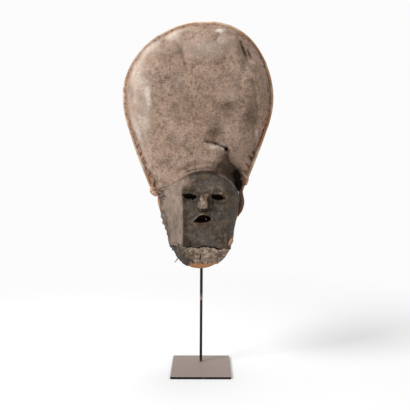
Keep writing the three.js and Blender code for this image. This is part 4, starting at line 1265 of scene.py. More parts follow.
def strand_mesh(name, path, side, half_wide, half_thick, sides, masks=None, surface=None):
    """One mesh of one or many strands, closed at both ends with a pole. Sizes and masks are single
    numbers, or one number for each point of a path."""
    path = path if path.ndim == 3 else path[None]
    side, half_wide, half_thick = (np.broadcast_to(a, path.shape[:2] + s) for a, s in
                                   ((side, (3,)), (half_wide, ()), (half_thick, ())))
    body = rings(path, side, half_wide, half_thick, sides)
    if surface is not None:
        body = surface(body, path)
    count, length = path.shape[:2]
    size = length * sides + 2
    points = np.concatenate([body.reshape(count, -1, 3), path[:, :1], path[:, -1:]], axis=1)
    quads = grid_quads(length, sides, closed=True)
    shift = (np.arange(count) * size)[:, None, None]
    girth = half_wide.mean() * 2 * math.pi * np.arange(sides) / sides
    uv = np.stack(np.broadcast_arrays(girth, walked(path, 1)[..., None]), -1)
    uv = uv.reshape(count, -1, 2)
    uv = np.concatenate([uv, uv[:, :1], uv[:, -1:]], axis=1) * MM
    flat_masks = {}
    for key, amount in (masks or {}).items():
        amount = np.broadcast_to(np.asarray(amount)[..., None], (count, length, sides))
        amount = amount.reshape(count, -1)
        flat_masks[key] = np.concatenate([amount, amount[:, :1], amount[:, -1:]], axis=1)
    quads, fans = quads + shift, pole_fans(length, sides) + shift
    return make_mesh(name, points.reshape(-1, 3), quads.reshape(-1, 4), fans.reshape(-1, 3),
                     uv.reshape(-1, 2), flat_masks)


def in_plane(path):
    """A flat path at the depth of the canes."""
    return np.stack([path[:, 0], np.full(len(path), float(RIM_Y)), path[:, 1]], axis=-1)


# %% [markdown]
# The crown hoop is a split cane with low joints, bent round and lashed. Its right end runs on past
# the knot as a bare, broken splint. The chin hoop is thinner skinned and darker. The stub of a cut
# side branch lies on the cloth at the edge of the jaw.

# %% Crown hoop and chin hoop
CANE = CANE_DIA / 2
CROWN_RINGS, CHIN_RINGS, STUB_RINGS, CANE_SIDES = 430, 250, 40, 18
LEFT_END_Z = 388
SPLINT = [(88.4, 386), (90.6, 367), (81.5, 339)]
CANE_JOINTS = (96, 236, 371, 498, 640, 772, 905, 1040)
STUB_X, STUB_Z, STUB_HALF, STUB_REACH = 61.5, 297.5, 4.6, (4, 1, 7.4)
STUB_SEAT_X, STUB_SEAT_Z = 59, 290


def crown_path(count):
    """From the left lashing up over the crown, down to the right knot and on into the splint."""
    left, right = crown_half("left", CANE, 18)[::-1], crown_half("right", CANE, 18)
    start = [[left[0, 0] + 2, LEFT_END_Z]]
    points = np.concatenate([start, left[:-1], right, SPLINT])
    return in_plane(evenly(spline(points, np.linspace(0, 1, 1600)), count))


def cane_surface(body, path):
    """Long flats and ridges of the split cane: noise stretched along it."""
    middle = path[:, :, None, :]
    out = body - middle
    around = unit(out)
    long_walk = np.broadcast_to(walked(path, 1)[..., None], body.shape[:3])
    level = np.hypot(around[..., 0], around[..., 2])
    at = np.stack([around[..., 1] * 4, level * 4, long_walk / 14], -1)
    return middle + out * (1 + 0.05 * rough(at, 2.2, 2, 163) - 0.03)[..., None]


crown_line = crown_path(CROWN_RINGS)
at_right = crown_line[:, 0] > 60
crown_line[:, 1] -= 3.4 * smooth((408 - crown_line[:, 2]) / 22) * at_right
cane_length = np.linalg.norm(np.diff(crown_line, axis=0), axis=1).sum()
walk = np.linspace(0, cane_length, len(crown_line))
joints = sum(hill((walk - at) / 5) for at in CANE_JOINTS)
splint = smooth((410 - crown_line[:, 2]) / 12) * at_right
broken = smooth((cane_length - walk) / 16)
tanned = smooth((crown_line[:, 0] - 10) / 50) * smooth((noise(crown_line, 34, 187) + 0.4) / 0.5)
grimy = 0.3 * smooth((-40 - crown_line[:, 0]) / 40)
grimy = grimy * smooth((noise(crown_line, 26, 189) + 0.7) / 0.6)
cane_half = (CANE - 0.15 + 0.35 * joints) * mix(1, 1.06, splint) * mix(0.25, 1, broken)
crown_cane = strand_mesh("crown_cane", crown_line, FORWARD, cane_half * mix(1, 0.7, splint),
                         cane_half, CANE_SIDES,
                         {"splint": splint, "joint": joints + tanned, "soot": grimy}, cane_surface)

chin_path = in_plane(evenly(spline(chin_points(CANE), np.linspace(0, 1, 1200)), CHIN_RINGS))
chin_walk = np.linspace(0, 1, CHIN_RINGS)
chin_half = (CANE - 0.25) * mix(0.45, 1, smooth(chin_walk / 0.02))
chin_half = chin_half * mix(0.45, 1, smooth((1 - chin_walk) / 0.02))
# Painted shade: high on the chin hoop's right leg, in the shadow between the two canes.
leg_shade = smooth((chin_path[:, 2] - 358) / 8) * (chin_path[:, 0] > 0)
chin_cane = strand_mesh("chin_cane", chin_path, FORWARD, chin_half, chin_half, CANE_SIDES,
                        {"splint": 0.15, "joint": 1.2, "soot": leg_shade}, cane_surface)

seats = face_front.reshape(-1, 3)
seat = seats[np.argmin(np.hypot(seats[:, 0] - STUB_SEAT_X, seats[:, 2] - STUB_SEAT_Z))]
stub_along = np.linspace(-1, 1, STUB_RINGS)[:, None] * np.array(STUB_REACH)
stub_half = STUB_HALF * np.sqrt(np.clip(1 - np.linspace(-0.97, 0.97, STUB_RINGS) ** 4, 0, 1))
stub_soot = 0.2 + 0.45 * hill((np.linspace(0, 1, STUB_RINGS) - 0.05) / 0.3)
stub_cane = strand_mesh("jaw_stub", np.array([STUB_X, seat[1] - 1.5, STUB_Z]) + stub_along,
                        np.array([1.0, 0, 0]), stub_half, 0.9 * stub_half, CANE_SIDES,
                        {"splint": 0.0, "joint": 1.5, "soot": stub_soot}, cane_surface)
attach(stub_cane, BODY)
for piece, node in ((crown_cane, "crown_hoop"), (chin_cane, "chin_hoop")):
    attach(piece, BODY)
    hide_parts(node)
print("crown hoop length", cane_length)

# %% [markdown]
# Where the two hoops meet, torn strips of cloth are wound round both and knotted. Each lashing is
# a lump under strips that cross at different tilts. At the left a second, slimmer and darker
# lashing sits above the first.

# %% Lashings
# Each lashing: its middle, its half sizes, and the seed of its random draws.
LASHINGS = {"left": ((-99.5, 14, 396), (12.4, 11.5, 13.5), 5),
            "right": ((94.6, 13, 423), (9.4, 11.5, 17.5), 9),
            "left_upper": ((-102.5, 5, 425), (6.6, 8, 19), 31)}
WRAPS, BAND_RINGS, BAND_SIDES, BAND_HALF_THICK = 9, 49, 10, 0.8
WAD_ROWS, WAD_COLUMNS = 44, 56


def lashing_bands(side_name):
    """Bands on an ellipsoid: each is the circle where a tilted plane cuts it, pushed out in turn so
    that later bands lie on earlier ones. Gives paths, side directions, half widths and tones."""
    centre, radii, seed = LASHINGS[side_name]
    luck = np.random.default_rng(seed)
    tilt = luck.uniform(-0.7, 0.7, WRAPS) + np.where(np.arange(WRAPS) % 3 == 2, 1.2, 0)
    yaw = luck.uniform(-0.5, 0.5, WRAPS)
    axis = unit(np.stack([np.sin(tilt), 0.45 * np.sin(yaw), np.cos(tilt)], -1))
    first = unit(np.cross(axis, np.array([0, 1.0, 0.001])))[:, None]
    second = np.cross(axis[:, None], first)
    turn = np.linspace(0, 2 * math.pi, BAND_RINGS)[:, None]
    shift = luck.uniform(-0.55, 0.55, WRAPS)[:, None, None]
    circle = np.cos(turn) * first + np.sin(turn) * second
    sphere = circle * np.sqrt(1 - shift**2) + axis[:, None] * shift
    layer = (0.84 + 0.13 * np.arange(WRAPS) / WRAPS)[:, None, None]
    wobble = 1 + 0.05 * rough(sphere * 9 + seed, 4, 2, 173)[..., None]
    path = np.array(centre, float) + sphere * np.array(radii) * layer * wobble
    wide = np.cross(unit(np.gradient(path, axis=1)), unit(path - np.array(centre, float)))
    half = luck.uniform(1.8, 3.6, WRAPS)[:, None] * (1 + 0.2 * noise(sphere * 8, 3, 179))
    shades = luck.uniform(0, 1, WRAPS)[:, None] * (0.35 if "upper" in side_name else 1)
    return path, wide, half, shades


def wad_mesh(name, side_name):
    """The lump under the bands: a ball with folds, made of rows from pole to pole."""
    centre, radii, seed = LASHINGS[side_name]
    up = (np.linspace(-1, 1, WAD_ROWS) * math.pi / 2 * 0.985)[:, None]
    turn = 2 * math.pi * np.arange(WAD_COLUMNS) / WAD_COLUMNS
    ball = [np.cos(up) * np.cos(turn), np.cos(up) * np.sin(turn), np.sin(up)]
    ball = np.stack(np.broadcast_arrays(*ball), -1)
    creased = 0.86 + 0.07 * rough(ball * 10 + seed, 6, 3, 181)
    creased = creased - 0.05 * np.abs(noise(ball * 10, 4, 191))
    grid = np.array(centre) + ball * np.array(radii) * creased[..., None]
    points = np.concatenate([grid.reshape(-1, 3), grid[[0, -1]].mean(axis=1)])
    return make_mesh(name, points, grid_quads(WAD_ROWS, WAD_COLUMNS, closed=True),
                     pole_fans(WAD_ROWS, WAD_COLUMNS), points[:, [0, 2]] * MM,
                     {"tone": np.full(len(points), 0.1)})


for side_name in LASHINGS:
    path, wide, half, shades = lashing_bands(side_name)
    bands = strand_mesh(side_name + "_lashing_bands", path, wide, half, BAND_HALF_THICK, BAND_SIDES,
                        {"tone": shades})
    wad = wad_mesh(side_name + "_lashing_wad", side_name)
    for piece in (bands, wad):
        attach(piece, BODY)
        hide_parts(side_name.split("_")[0] + "_lashing")
print("lashings", list(LASHINGS))

# %% [markdown]
# ## Sewing and loose threads
#
# The cloth was drawn over the cane and whipped down with coarse thread. What shows is a row of
# short dark stitches just inside the cane, each in its own small dent.

# %% Hem stitches
STITCH_SEED, STITCH_RINGS, STITCH_SIDES = 7, 9, 6
USUAL_WALK, WALK_STEPS = 215, 241


def stitches():
    """Short arcs across the hem. Each starts inside the cloth, rises over the surface as half a
    sine, and dips at the cane. They stand where the sewing pulls most, and only where the headdress
    ends at a cane. Places are measured in millimetres walked in from the rim on a usual spoke."""
    luck = np.random.default_rng(STITCH_SEED)
    centre = np.arange(stitch_count) / stitch_count * 2 * math.pi
    centre = (centre + math.pi) % (2 * math.pi) - math.pi
    centre = centre[on_spoke(arch_reach, centre) > 2 * on_spoke(rim_reach, centre)]
    wander = STITCH_WANDER * noise(round_walk(centre), 7, 23)
    centre = centre - wander * 2 * math.pi / stitch_count
    t = np.linspace(0, 1, STITCH_RINGS)
    near, far = luck.uniform(0.5, 2, len(centre)), 10 + luck.uniform(-2.5, 3, len(centre))
    slant = luck.uniform(-0.02, 0.03, len(centre))
    inward = mix(far[:, None], near[:, None], t) / USUAL_WALK
    share = np.interp(1 - inward, np.linspace(0, 1, WALK_STEPS), even_shares(WALK_STEPS))
    surface = headdress_surface(centre[:, None] + slant[:, None] * (t - 0.5), share)
    out = unit(surface - np.array([MIDDLE[0], 40.0, MIDDLE[1]]))
    surface = surface + out * (0.3 + 0.9 * np.sin(t * math.pi))[:, None]
    return surface, luck.uniform(0.9, 1.6, (len(centre), 1)) * (1 - 0.5 * (2 * t - 1) ** 4)


stitch_path, stitch_half = stitches()
sewing = strand_mesh("hem_stitches", stitch_path, FORWARD, stitch_half * 0.7, stitch_half,
                     STITCH_SIDES, {"tone": 0.0})
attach(sewing, BODY)
print("stitches", len(stitch_path))

# %% [markdown]
# ## The stick end
#
# A short end of broken stick pokes out beside the chin. It tapers and its tip is splintered.

# %% Stick end
STICK_RINGS, STICK_SIDES = 26, 12
STICK_INNER, STICK_TIP = (-51.6, 17, 244.6), (-58, 14, 236)

stick_t = np.linspace(0, 1, STICK_RINGS)
stick_path = mix(np.array(STICK_INNER), np.array(STICK_TIP), stick_t[:, None])
stick_path = stick_path + 0.25 * np.sin(stick_t * 5)[:, None] * np.array([1, 0, 0.4])
stick_half = mix(1.45, 0.8, stick_t) * (1 + 0.1 * np.sin(stick_t * 17))
stick_half = stick_half * mix(0.3, 1, smooth((1 - stick_t) / 0.08))
stick_soot = 0.75 - 0.5 * hill((stick_t - 0.55) / 0.2)
stick = strand_mesh("stick_end", stick_path, FORWARD, stick_half, stick_half, STICK_SIDES,
                    {"splint": 0.6, "joint": 0.0, "soot": stick_soot})
print("stick end from", STICK_INNER, "to", STICK_TIP)
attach(stick, BODY)
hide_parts("loose_twig")

# %% [markdown]
# ## The stand
#
# A square steel plate carries a short post. The rod is slipped over a pin on the post, and a thin
# bright line shows the joint. At its top an arm reaches forward to a short curved bar, and the
# crown hoop hangs on that bar. Rod and post are turned, so they are rings on a straight path.

# %% Post, rod and bar
PLATE_SIDE, PLATE_THICK = 130, 5
POST_BACK, POST_X, LEAN = 27, -0.6, 0.0074
POST_DIA, ROD_DIA, BAR_DIA = 6, 6.4, 5
JOINT_Z = 151
ROD_RINGS, END_RINGS, ROD_SIDES = 60, 7, 28
BAR_HALF_ANGLE = 0.22
BAR_RADIUS = CROWN_R - CANE_DIA - BAR_DIA / 2 - 0.6
ROD_TOP_X = POST_X + LEAN * (CROWN_Z + BAR_RADIUS)
BAR_TURN = math.asin((CROWN_X + CROWN_LEAN - ROD_TOP_X) / BAR_RADIUS)
BAR_Z = CROWN_Z + BAR_RADIUS * math.cos(BAR_TURN)


def leaning(z):
    """Points up the stand's line, which leans a little to the right."""
    return np.stack([POST_X + LEAN * z, np.full(len(z), float(POST_BACK)), z], axis=-1)


def rounded(t, half, chamfer):
    """Half the thickness along a turned piece from t = 0 to 1, with its ends rounded off."""
    end = np.minimum(t, 1 - t) / chamfer
    return half * (0.55 + 0.45 * np.sqrt(np.clip(end, 0, 1) * (2 - np.clip(end, 0, 1))))


def crowded(count, share):
    """Numbers from 0 to 1 with a few more close to both ends."""
    ends = np.linspace(0, share, END_RINGS)
    between = np.linspace(share, 1 - share, count - 2 * END_RINGS + 2)[1:-1]
    return np.concatenate([ends, between, 1 - ends[::-1]])


post_t = crowded(ROD_RINGS, 0.006)
post_path = leaning(mix(PLATE_THICK + 0.2, JOINT_Z - 0.1, post_t))
post_half = rounded(post_t, POST_DIA / 2, 0.006)
post = strand_mesh("post_steel", post_path, FORWARD, post_half, post_half, ROD_SIDES,
                   {"rubbed": hill((1 - post_t) / 0.012) + 0.6 * hill(post_t / 0.02)})
rod_t = crowded(ROD_RINGS, 0.0016)
rod_path = leaning(mix(JOINT_Z + 0.3, BAR_Z + 0.3, rod_t))
arm_ends = np.array([[ROD_TOP_X, POST_BACK, BAR_Z], [ROD_TOP_X, RIM_Y, BAR_Z]])
arm_path = mix(arm_ends[0], arm_ends[1], rod_t[:, None])
bar_angle = math.pi / 2 + BAR_TURN + mix(BAR_HALF_ANGLE, -BAR_HALF_ANGLE, rod_t)
bar_flat = BAR_RADIUS * np.stack([np.cos(bar_angle), np.sin(bar_angle)], -1)
bar_path = in_plane(lean_top([CROWN_X, CROWN_Z] + bar_flat))
rod_half = np.stack([rounded(rod_t, ROD_DIA / 2, 0.0016), np.full(ROD_RINGS, BAR_DIA / 2),
                     rounded(rod_t, BAR_DIA / 2, 0.02)])
rod = strand_mesh("rod_steel", np.stack([rod_path, arm_path, bar_path]),
                  np.stack([FORWARD, [1.0, 0, 0], FORWARD])[:, None], rod_half, rod_half, ROD_SIDES,
                  {"rubbed": np.stack([hill(rod_t / 0.004), 0 * rod_t, 0 * rod_t])})
print("bar at", BAR_Z, "rod foot at", JOINT_Z)

# %% Foot plate
PLATE_CORNER, PLATE_EDGE = 1.6, 0.7
CORNER_POINTS = 9
PLATE_RING = 4 * CORNER_POINTS
PLATE_STEPS = np.array([60, 45, 30, 15, 5.0])


def square_ring(half, corner):
    """A square with round corners: four quarter circles joined by straight sides."""
    turn = np.linspace(0, math.pi / 2, CORNER_POINTS) + math.pi / 2 * np.arange(4)[:, None]
    way = np.stack([np.cos(turn), np.sin(turn)], -1)
    middle = np.array([[1, 1], [-1, 1], [-1, -1], [1, -1]]) * (half - corner)
    return (middle[:, None] + corner * way).reshape(-1, 2)


def plate_profile():
    """Inset from the side and height, from the middle of the underside round to the middle of the
    top: level, a rounded edge, the upright side, a rounded edge, level."""
    bend = np.linspace(0, math.pi / 2, 6)
    low = [PLATE_EDGE * (1 - np.sin(bend)), PLATE_EDGE * (1 - np.cos(bend))]
    high = [PLATE_EDGE * (1 - np.cos(bend)), PLATE_THICK - PLATE_EDGE * (1 - np.sin(bend))]
    under = [PLATE_STEPS, 0 * PLATE_STEPS]
    over = [PLATE_STEPS[::-1], PLATE_THICK + 0 * PLATE_STEPS]
    return np.concatenate([np.stack(part, -1) for part in (under, low, high, over)])


profile = plate_profile()
plate_rings = [np.column_stack([square_ring(PLATE_SIDE / 2 - cut, PLATE_CORNER),
                                np.full(PLATE_RING, z)]) for cut, z in profile]
plate_points = np.concatenate(plate_rings + [[[0, 0, 0], [0, 0, PLATE_THICK]]])
# Painted reflection: the plate's top gets the lighter tone, its sides stay dark.
upper = np.repeat((profile[:, 1] > PLATE_THICK - 0.2).astype(float), PLATE_RING)
plate = make_mesh("foot_plate", plate_points, grid_quads(len(profile), PLATE_RING, closed=True),
                  pole_fans(len(profile), PLATE_RING), None,
                  {"rubbed": np.concatenate([upper, [0, 1]])})
print("foot plate", len(plate_points), "points")
for piece, node, slot in ((rod, "hanging_rod", "stand_steel"), (post, "lower_post", "stand_steel"),
                          (plate, "base_plate", "foot_steel")):
    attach(piece, BODY)
    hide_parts(node)

# %% [markdown]
# ## Tools for the finishes
#
# A finish is a small network of nodes. To read like a formula, each socket is wrapped in a class
# whose operators add the Math nodes. Any other node comes from one method.

# %% Shader maths
class Value:
    """A socket of a shader node. Plus, minus, times and divide on it add Math nodes."""

    def __init__(self, paint, socket):
        self.paint, self.socket = paint, socket

    def math(self, operation, *others):
        """A Math node with this socket and then the others as its inputs."""
        values = dict(enumerate((self, *others)))
        return self.paint.node("ShaderNodeMath", {"operation": operation}, values)

    def __add__(self, other):
        return self.math("ADD", other)

    def __mul__(self, other):
        return self.math("MULTIPLY", other)

    def __sub__(self, other):
        return self.math("SUBTRACT", other)

    def __rsub__(self, other):
        return self.paint.node("ShaderNodeMath", {"operation": "SUBTRACT"}, {0: other, 1: self})

    __radd__, __rmul__ = __add__, __mul__

    def step(self, start, end):
        """0 below start and 1 above end, smooth between."""
        settings = {"interpolation_type": "SMOOTHSTEP"}
        return self.paint.node("ShaderNodeMapRange", settings, {0: self, 1: start, 2: end})


class Paint:
    """The node network of one finish."""

    def __init__(self, name):
        self.material = bpy.data.materials.new(name)
        self.material.use_nodes = True
        self.tree = self.material.node_tree
        self.tree.nodes.clear()

    def node(self, kind, settings, values, output=0):
        """Adds a node, sets its settings first and then its sockets, and gives one output."""
        made = self.tree.nodes.new(kind)
        for key, value in settings.items():
            if key == "stops":
                ramp = made.color_ramp.elements
                while len(ramp) < len(value):
                    ramp.new(0.5)
                for element, (at, colour) in zip(ramp, value):
                    element.position, element.color = at, (*colour, 1)
            else:
                setattr(made, key, value)
        for key, value in values.items():
            if isinstance(value, Value):
                self.tree.links.new(value.socket, made.inputs[key])
            elif isinstance(value, tuple) and len(value) == 3 and made.inputs[key].type == "RGBA":
                made.inputs[key].default_value = (*value, 1)
            else:
                made.inputs[key].default_value = value
        return Value(self, made.outputs[output])

    def blend(self, amount, first, second):
        """One colour fading to another."""
        values = {0: amount, 6: first, 7: second}
        return self.node("ShaderNodeMix", {"data_type": "RGBA"}, values, 2)

    def coats(self, colour, layers):
        """Thin coats over a colour, one after another, each with its amount and its colour."""
        for amount, seen in layers:
            colour = self.blend(amount, colour, tone(*seen))
        return colour

    def place(self):
        """Where a point of the piece is, in metres."""
        return self.node("ShaderNodeTexCoord", {}, {}, 3)

    def cloth(self):
        """Where a point is on the cloth laid out flat, in metres."""
        return self.node("ShaderNodeUVMap", {"uv_map": "cloth"}, {})

    def amount(self, name):
        """A painted amount of the mesh."""
        return self.node("ShaderNodeAttribute", {"attribute_name": name}, {}, 2)

    def stretched(self, vector, factors):
        return self.node("ShaderNodeVectorMath", {"operation": "MULTIPLY"}, {0: vector, 1: factors})

    def grain(self, vector, scale, detail=2.0, roughness=0.5):
        values = {"Vector": vector, "Scale": scale, "Detail": detail, "Roughness": roughness}
        return self.node("ShaderNodeTexNoise", {}, values)

    def surface(self, colour, roughness, height, bump_depth, bump=0.6, **fixed):
        """The final shader: colour, roughness, a height for the bump, and fixed settings."""
        values = {"Strength": bump, "Distance": bump_depth, "Height": height}
        normal = self.node("ShaderNodeBump", {}, values)
        values = {"Base Color": colour, "Roughness": roughness, "Normal": normal, **fixed}
        return self.finish(self.node("ShaderNodeBsdfPrincipled", {}, values))

    def finish(self, shader):
        """Joins the shader to the material's output and gives the material."""
        last = self.tree.nodes.new("ShaderNodeOutputMaterial")
        self.tree.links.new(shader.socket, last.inputs[0])
        print("finish", self.material.name, len(self.tree.nodes), "nodes")
        return self.material


def tone(red, green, blue):
    """A colour seen on a screen, from 0 to 255, as the light it stands for."""
    values = [c / 255 for c in (red, green, blue)]
    return tuple(c / 12.92 if c < 0.04045 else ((c + 0.055) / 1.055) ** 2.4 for c in values)


def weave(paint, pitch):
    """Plain weave: the sine of one thread direction times the sine of the other."""
    across = paint.node("ShaderNodeSeparateXYZ", {}, {0: paint.cloth()})
    along = Value(paint, across.socket.node.outputs[1])
    turn = 2 * math.pi / pitch
    return (across * turn).math("SINE") * (along * turn).math("SINE")


print("a middle brown is", tone(150, 128, 112))

# %% [markdown]
# ## Cloth finishes
#
# The cloth is bark-brown, matt and uneven. Clouds of lighter and darker brown come first, then the
# painted wear and stains, each broken up by a fine grain so that none has a smooth edge. The
# threads themselves are a bump only, about one millimetre apart.

# %% Headdress finish
MATT = {"Specular IOR Level": 0.18}
THREAD_PITCH = 0.0011


def headdress_finish():
    paint = Paint("headdress_cloth")
    place = paint.place()
    clouds, mottle = paint.grain(place, 15, 5, 0.6), paint.grain(place, 95, 5, 0.7)
    grain, speck = paint.grain(place, 240, 4, 0.65), paint.grain(place, 620, 2)
    across = paint.grain(paint.stretched(paint.cloth(), (60.0, 420.0, 1.0)), 1.0, 3, 0.6)
    along = paint.grain(paint.stretched(paint.cloth(), (420.0, 60.0, 1.0)), 1.0, 3, 0.6)
    threads = across.step(0.5, 0.66) + along.step(0.5, 0.66)
    worn, stained = paint.amount("worn"), paint.amount("stained")
    hem, black, sewn = paint.amount("hem"), paint.amount("black"), paint.amount("sewn")
    patch = paint.grain(place, 42, 4, 0.65)
    colour = paint.blend(clouds.step(0.32, 0.68), tone(155, 128, 108), tone(182, 156, 139))
    colour = paint.coats(colour, [
        (patch.step(0.5, 0.64) * 0.7, (124, 108, 93)),
        ((1 - patch).step(0.54, 0.66) * 0.5, (182, 150, 130)),
        (mottle.step(0.48, 0.64) * 0.62, (112, 90, 73)),
        (threads * 0.36, (108, 88, 72)),
        (grain.step(0.5, 0.7) * 0.46, (100, 76, 60)),
        ((1 - grain).step(0.5, 0.7) * 0.36, (202, 184, 170))])
    hem_tone = paint.blend(mottle.step(0.44, 0.58), tone(158, 122, 102), tone(84, 58, 44))
    hem_tone = paint.blend((1 - mottle).step(0.54, 0.64) * 0.7, hem_tone, tone(176, 122, 84))
    colour = paint.blend(hem * 0.85, colour, hem_tone)
    # Paler: real wear, and painted light where the cloth faces the light.
    paler_wear_and_light = worn * (grain.step(0.36, 0.6) * 0.7 + mottle.step(0.4, 0.6) * 0.35 + 0.4)
    colour = paint.coats(colour, [
        (paler_wear_and_light.step(0.02, 1.0) * 0.85, (222, 208, 196)),
        # Darker: real stains, and painted shade in creases, gaps and folds and along the brow.
        ((stained * (mottle * 0.8 + 0.6)).step(0.0, 1.0) * 0.9, (70, 54, 42)),
        (speck.step(0.62, 0.7) * 0.5, (80, 62, 48)),
        ((1 - speck).step(0.64, 0.72) * 0.42, (216, 202, 190)),
        # Painted shade in the stitches' dents.
        ((sewn * (grain + 0.6)).step(0.1, 0.7) * 0.9, (58, 34, 22)),
        # Painted shade: black in the dark gap, the rip's hole and its open upper side.
        (black * 0.95, (22, 16, 12))])
    height = weave(paint, THREAD_PITCH) * 0.22 + grain * 0.8 + mottle * 0.8
    height = height + (across + along) * 0.5 + speck * 0.3
    return paint.surface(colour, grain * 0.15 + 0.8, height, 0.0012, **MATT)


headdress.data.materials.append(headdress_finish())


# %% Face finish
def face_finish():
    paint = Paint("face_cloth")
    place = paint.place()
    clouds, grain = paint.grain(place, 24, 5, 0.65), paint.grain(place, 230, 4, 0.65)
    cool, speck = paint.grain(place, 46, 4, 0.6), paint.grain(place, 700, 2)
    pale, crust = paint.amount("pale"), paint.amount("crust")
    pit, fleck = paint.amount("pit"), paint.amount("fleck")
    mottle, red, dirty = paint.grain(place, 110, 5, 0.7), paint.amount("red"), paint.amount("dirty")
    colour = paint.blend(clouds.step(0.35, 0.65), tone(68, 58, 49), tone(97, 84, 71))
    colour = paint.coats(colour, [
        (mottle.step(0.46, 0.68) * 0.65, (44, 36, 29)),
        ((1 - mottle).step(0.5, 0.66) * 0.6, (122, 110, 98)),
        (cool.step(0.5, 0.62) * 0.6, (78, 76, 76)),
        ((1 - cool).step(0.54, 0.64) * 0.5, (104, 84, 64)),
        (grain.step(0.5, 0.7) * 0.5, (48, 38, 30)),
        # Painted shade round eyes, nose and ridge and under the arch, and darker low at the left.
        ((dirty * (mottle + 0.5)).step(0.1, 0.9) * 0.7, (44, 34, 27))])
    cheek = paint.blend(clouds.step(0.35, 0.65), tone(128, 109, 96), tone(154, 135, 121))
    cheek = paint.coats(cheek, [
        (cool.step(0.5, 0.62) * 0.5, (128, 120, 116)),
        (mottle.step(0.46, 0.66) * 0.6, (98, 80, 67)),
        (grain.step(0.5, 0.72) * 0.4, (98, 80, 67)),
        # Darker along the cheek's outer border.
        ((dirty * (mottle + 0.4)).step(0.2, 0.9) * 0.7, (92, 72, 58))])
    # The pale amount gives the cheek's colour, also to the painted highlights on ridge and arch.
    colour = paint.blend(pale, colour, cheek)
    colour = paint.coats(colour, [
        ((crust * (grain + 0.5)).step(0.15, 0.8) * 0.9, (162, 138, 121)),
        (paint.grain(place, 320, 3, 0.6).step(0.5, 0.62) * crust * 0.75, (62, 44, 32)),
        (red * 0.6, (96, 64, 48)),
        (speck.step(0.67, 0.75) * 0.35, (150, 134, 120))])
    # Painted shade: pits, nostrils, holes and the hanging strip are black to dark brown.
    inside = paint.blend(mottle.step(0.5, 0.62), tone(18, 11, 8), tone(92, 54, 38))
    colour = paint.blend(pit, colour, inside)
    colour = paint.blend(fleck.step(0.4, 0.9) * 0.9, colour, tone(206, 198, 186))
    height = weave(paint, THREAD_PITCH) * 0.2 + grain * 1.0 + mottle * 0.9 + speck * 0.4
    return paint.surface(colour, grain * 0.2 + 0.68, height, 0.0013, **MATT)


face.data.materials.append(face_finish())


# %% Chin finish
def chin_finish():
    paint = Paint("chin_cloth")
    place = paint.place()
    clouds, grain = paint.grain(place, 30, 5, 0.65), paint.grain(place, 210, 4, 0.65)
    mottle, crumb = paint.grain(place, 130, 4, 0.65), paint.amount("crumb")
    pale, stained, rust = paint.amount("pale"), paint.amount("stained"), paint.amount("rust")
    colour = paint.blend(clouds.step(0.38, 0.62), tone(116, 98, 82), tone(172, 154, 138))
    colour = paint.coats(colour, [
        (grain.step(0.5, 0.66) * 0.65, (70, 54, 42)),
        ((pale * (grain + 0.5)).step(0.3, 0.95) * 0.6, (150, 131, 114)),
        # Darker at the left, low down and in ticks, and painted shade in the tear.
        ((stained * (grain + 0.6)).step(0.15, 0.8) * 0.9, (48, 43, 40)),
        (mottle.step(0.5, 0.64) * 0.55, (72, 56, 43)),
        ((1 - mottle).step(0.52, 0.64) * (1 - stained) * 0.6, (196, 176, 154)),
        ((rust * (grain + 0.5) * (1 - stained * 0.6)).step(0.1, 0.6) * 0.85, (178, 118, 66)),
        ((crumb * (grain + 0.5)).step(0.2, 0.7) * 0.95, (30, 20, 14))])
    height = weave(paint, 0.0012) * 0.3 + grain
    return paint.surface(colour, grain * 0.15 + 0.78, height, 0.0012, **MATT)


chin.data.materials.append(chin_finish())

# %% [markdown]
# ## Cane, lashing and steel
#
# Cane has long fibres, so its grain is stretched along its length. The lashing strips each have
# their own tone. The stand is steel gone dull: smooth, dark, a little brown where it rusts. The
# foot plate's top is painted lighter than its sides, as a painted reflection of the white room.

# %% Cane finish
def cane_finish():
    paint = Paint("cane")
    fibres = paint.grain(paint.stretched(paint.cloth(), (1400.0, 60.0, 1.0)), 1.0, 4, 0.6)
    clouds = paint.grain(paint.place(), 28, 4, 0.6)
    splint, joint, soot = paint.amount("splint"), paint.amount("joint"), paint.amount("soot")
    colour = paint.blend(clouds.step(0.38, 0.64), tone(172, 134, 100), tone(212, 190, 166))
    colour = paint.coats(colour, [
        (fibres.step(0.5, 0.75) * 0.6, (118, 80, 52)),
        (clouds.step(0.6, 0.68) * 0.5, (186, 118, 66)),
        (joint.step(0.0, 1.5) * 0.75, (158, 104, 60)),
        (splint * 0.88, (88, 54, 38)),
        # Darker at the crown's left, on stick and stub, and painted shade high on the chin hoop's
        # right leg.
        (soot * 0.92, (30, 21, 16))])
    return paint.surface(colour, fibres * 0.2 + 0.5, fibres, 0.0006)


cane_material = cane_finish()
for piece in (crown_cane, chin_cane, stub_cane, stick):
    piece.data.materials.append(cane_material)


# %% Lashing finish
def lashing_finish():
    paint = Paint("lashing")
    grain = paint.grain(paint.place(), 260, 4, 0.6)
    threads = paint.grain(paint.stretched(paint.cloth(), (300.0, 1500.0, 1.0)), 1.0, 2, 0.5)
    own = paint.amount("tone")
    colour = paint.blend(own, tone(122, 78, 50), tone(204, 174, 148))
    colour = paint.blend(grain.step(0.46, 0.66) * 0.7, colour, tone(78, 48, 32))
    return paint.surface(colour, grain * 0.1 + 0.85, threads + grain, 0.0006)


lashing_material = lashing_finish()
for piece in bpy.context.scene.objects:
    if "_lashing_" in piece.name:
        piece.data.materials.append(lashing_material)


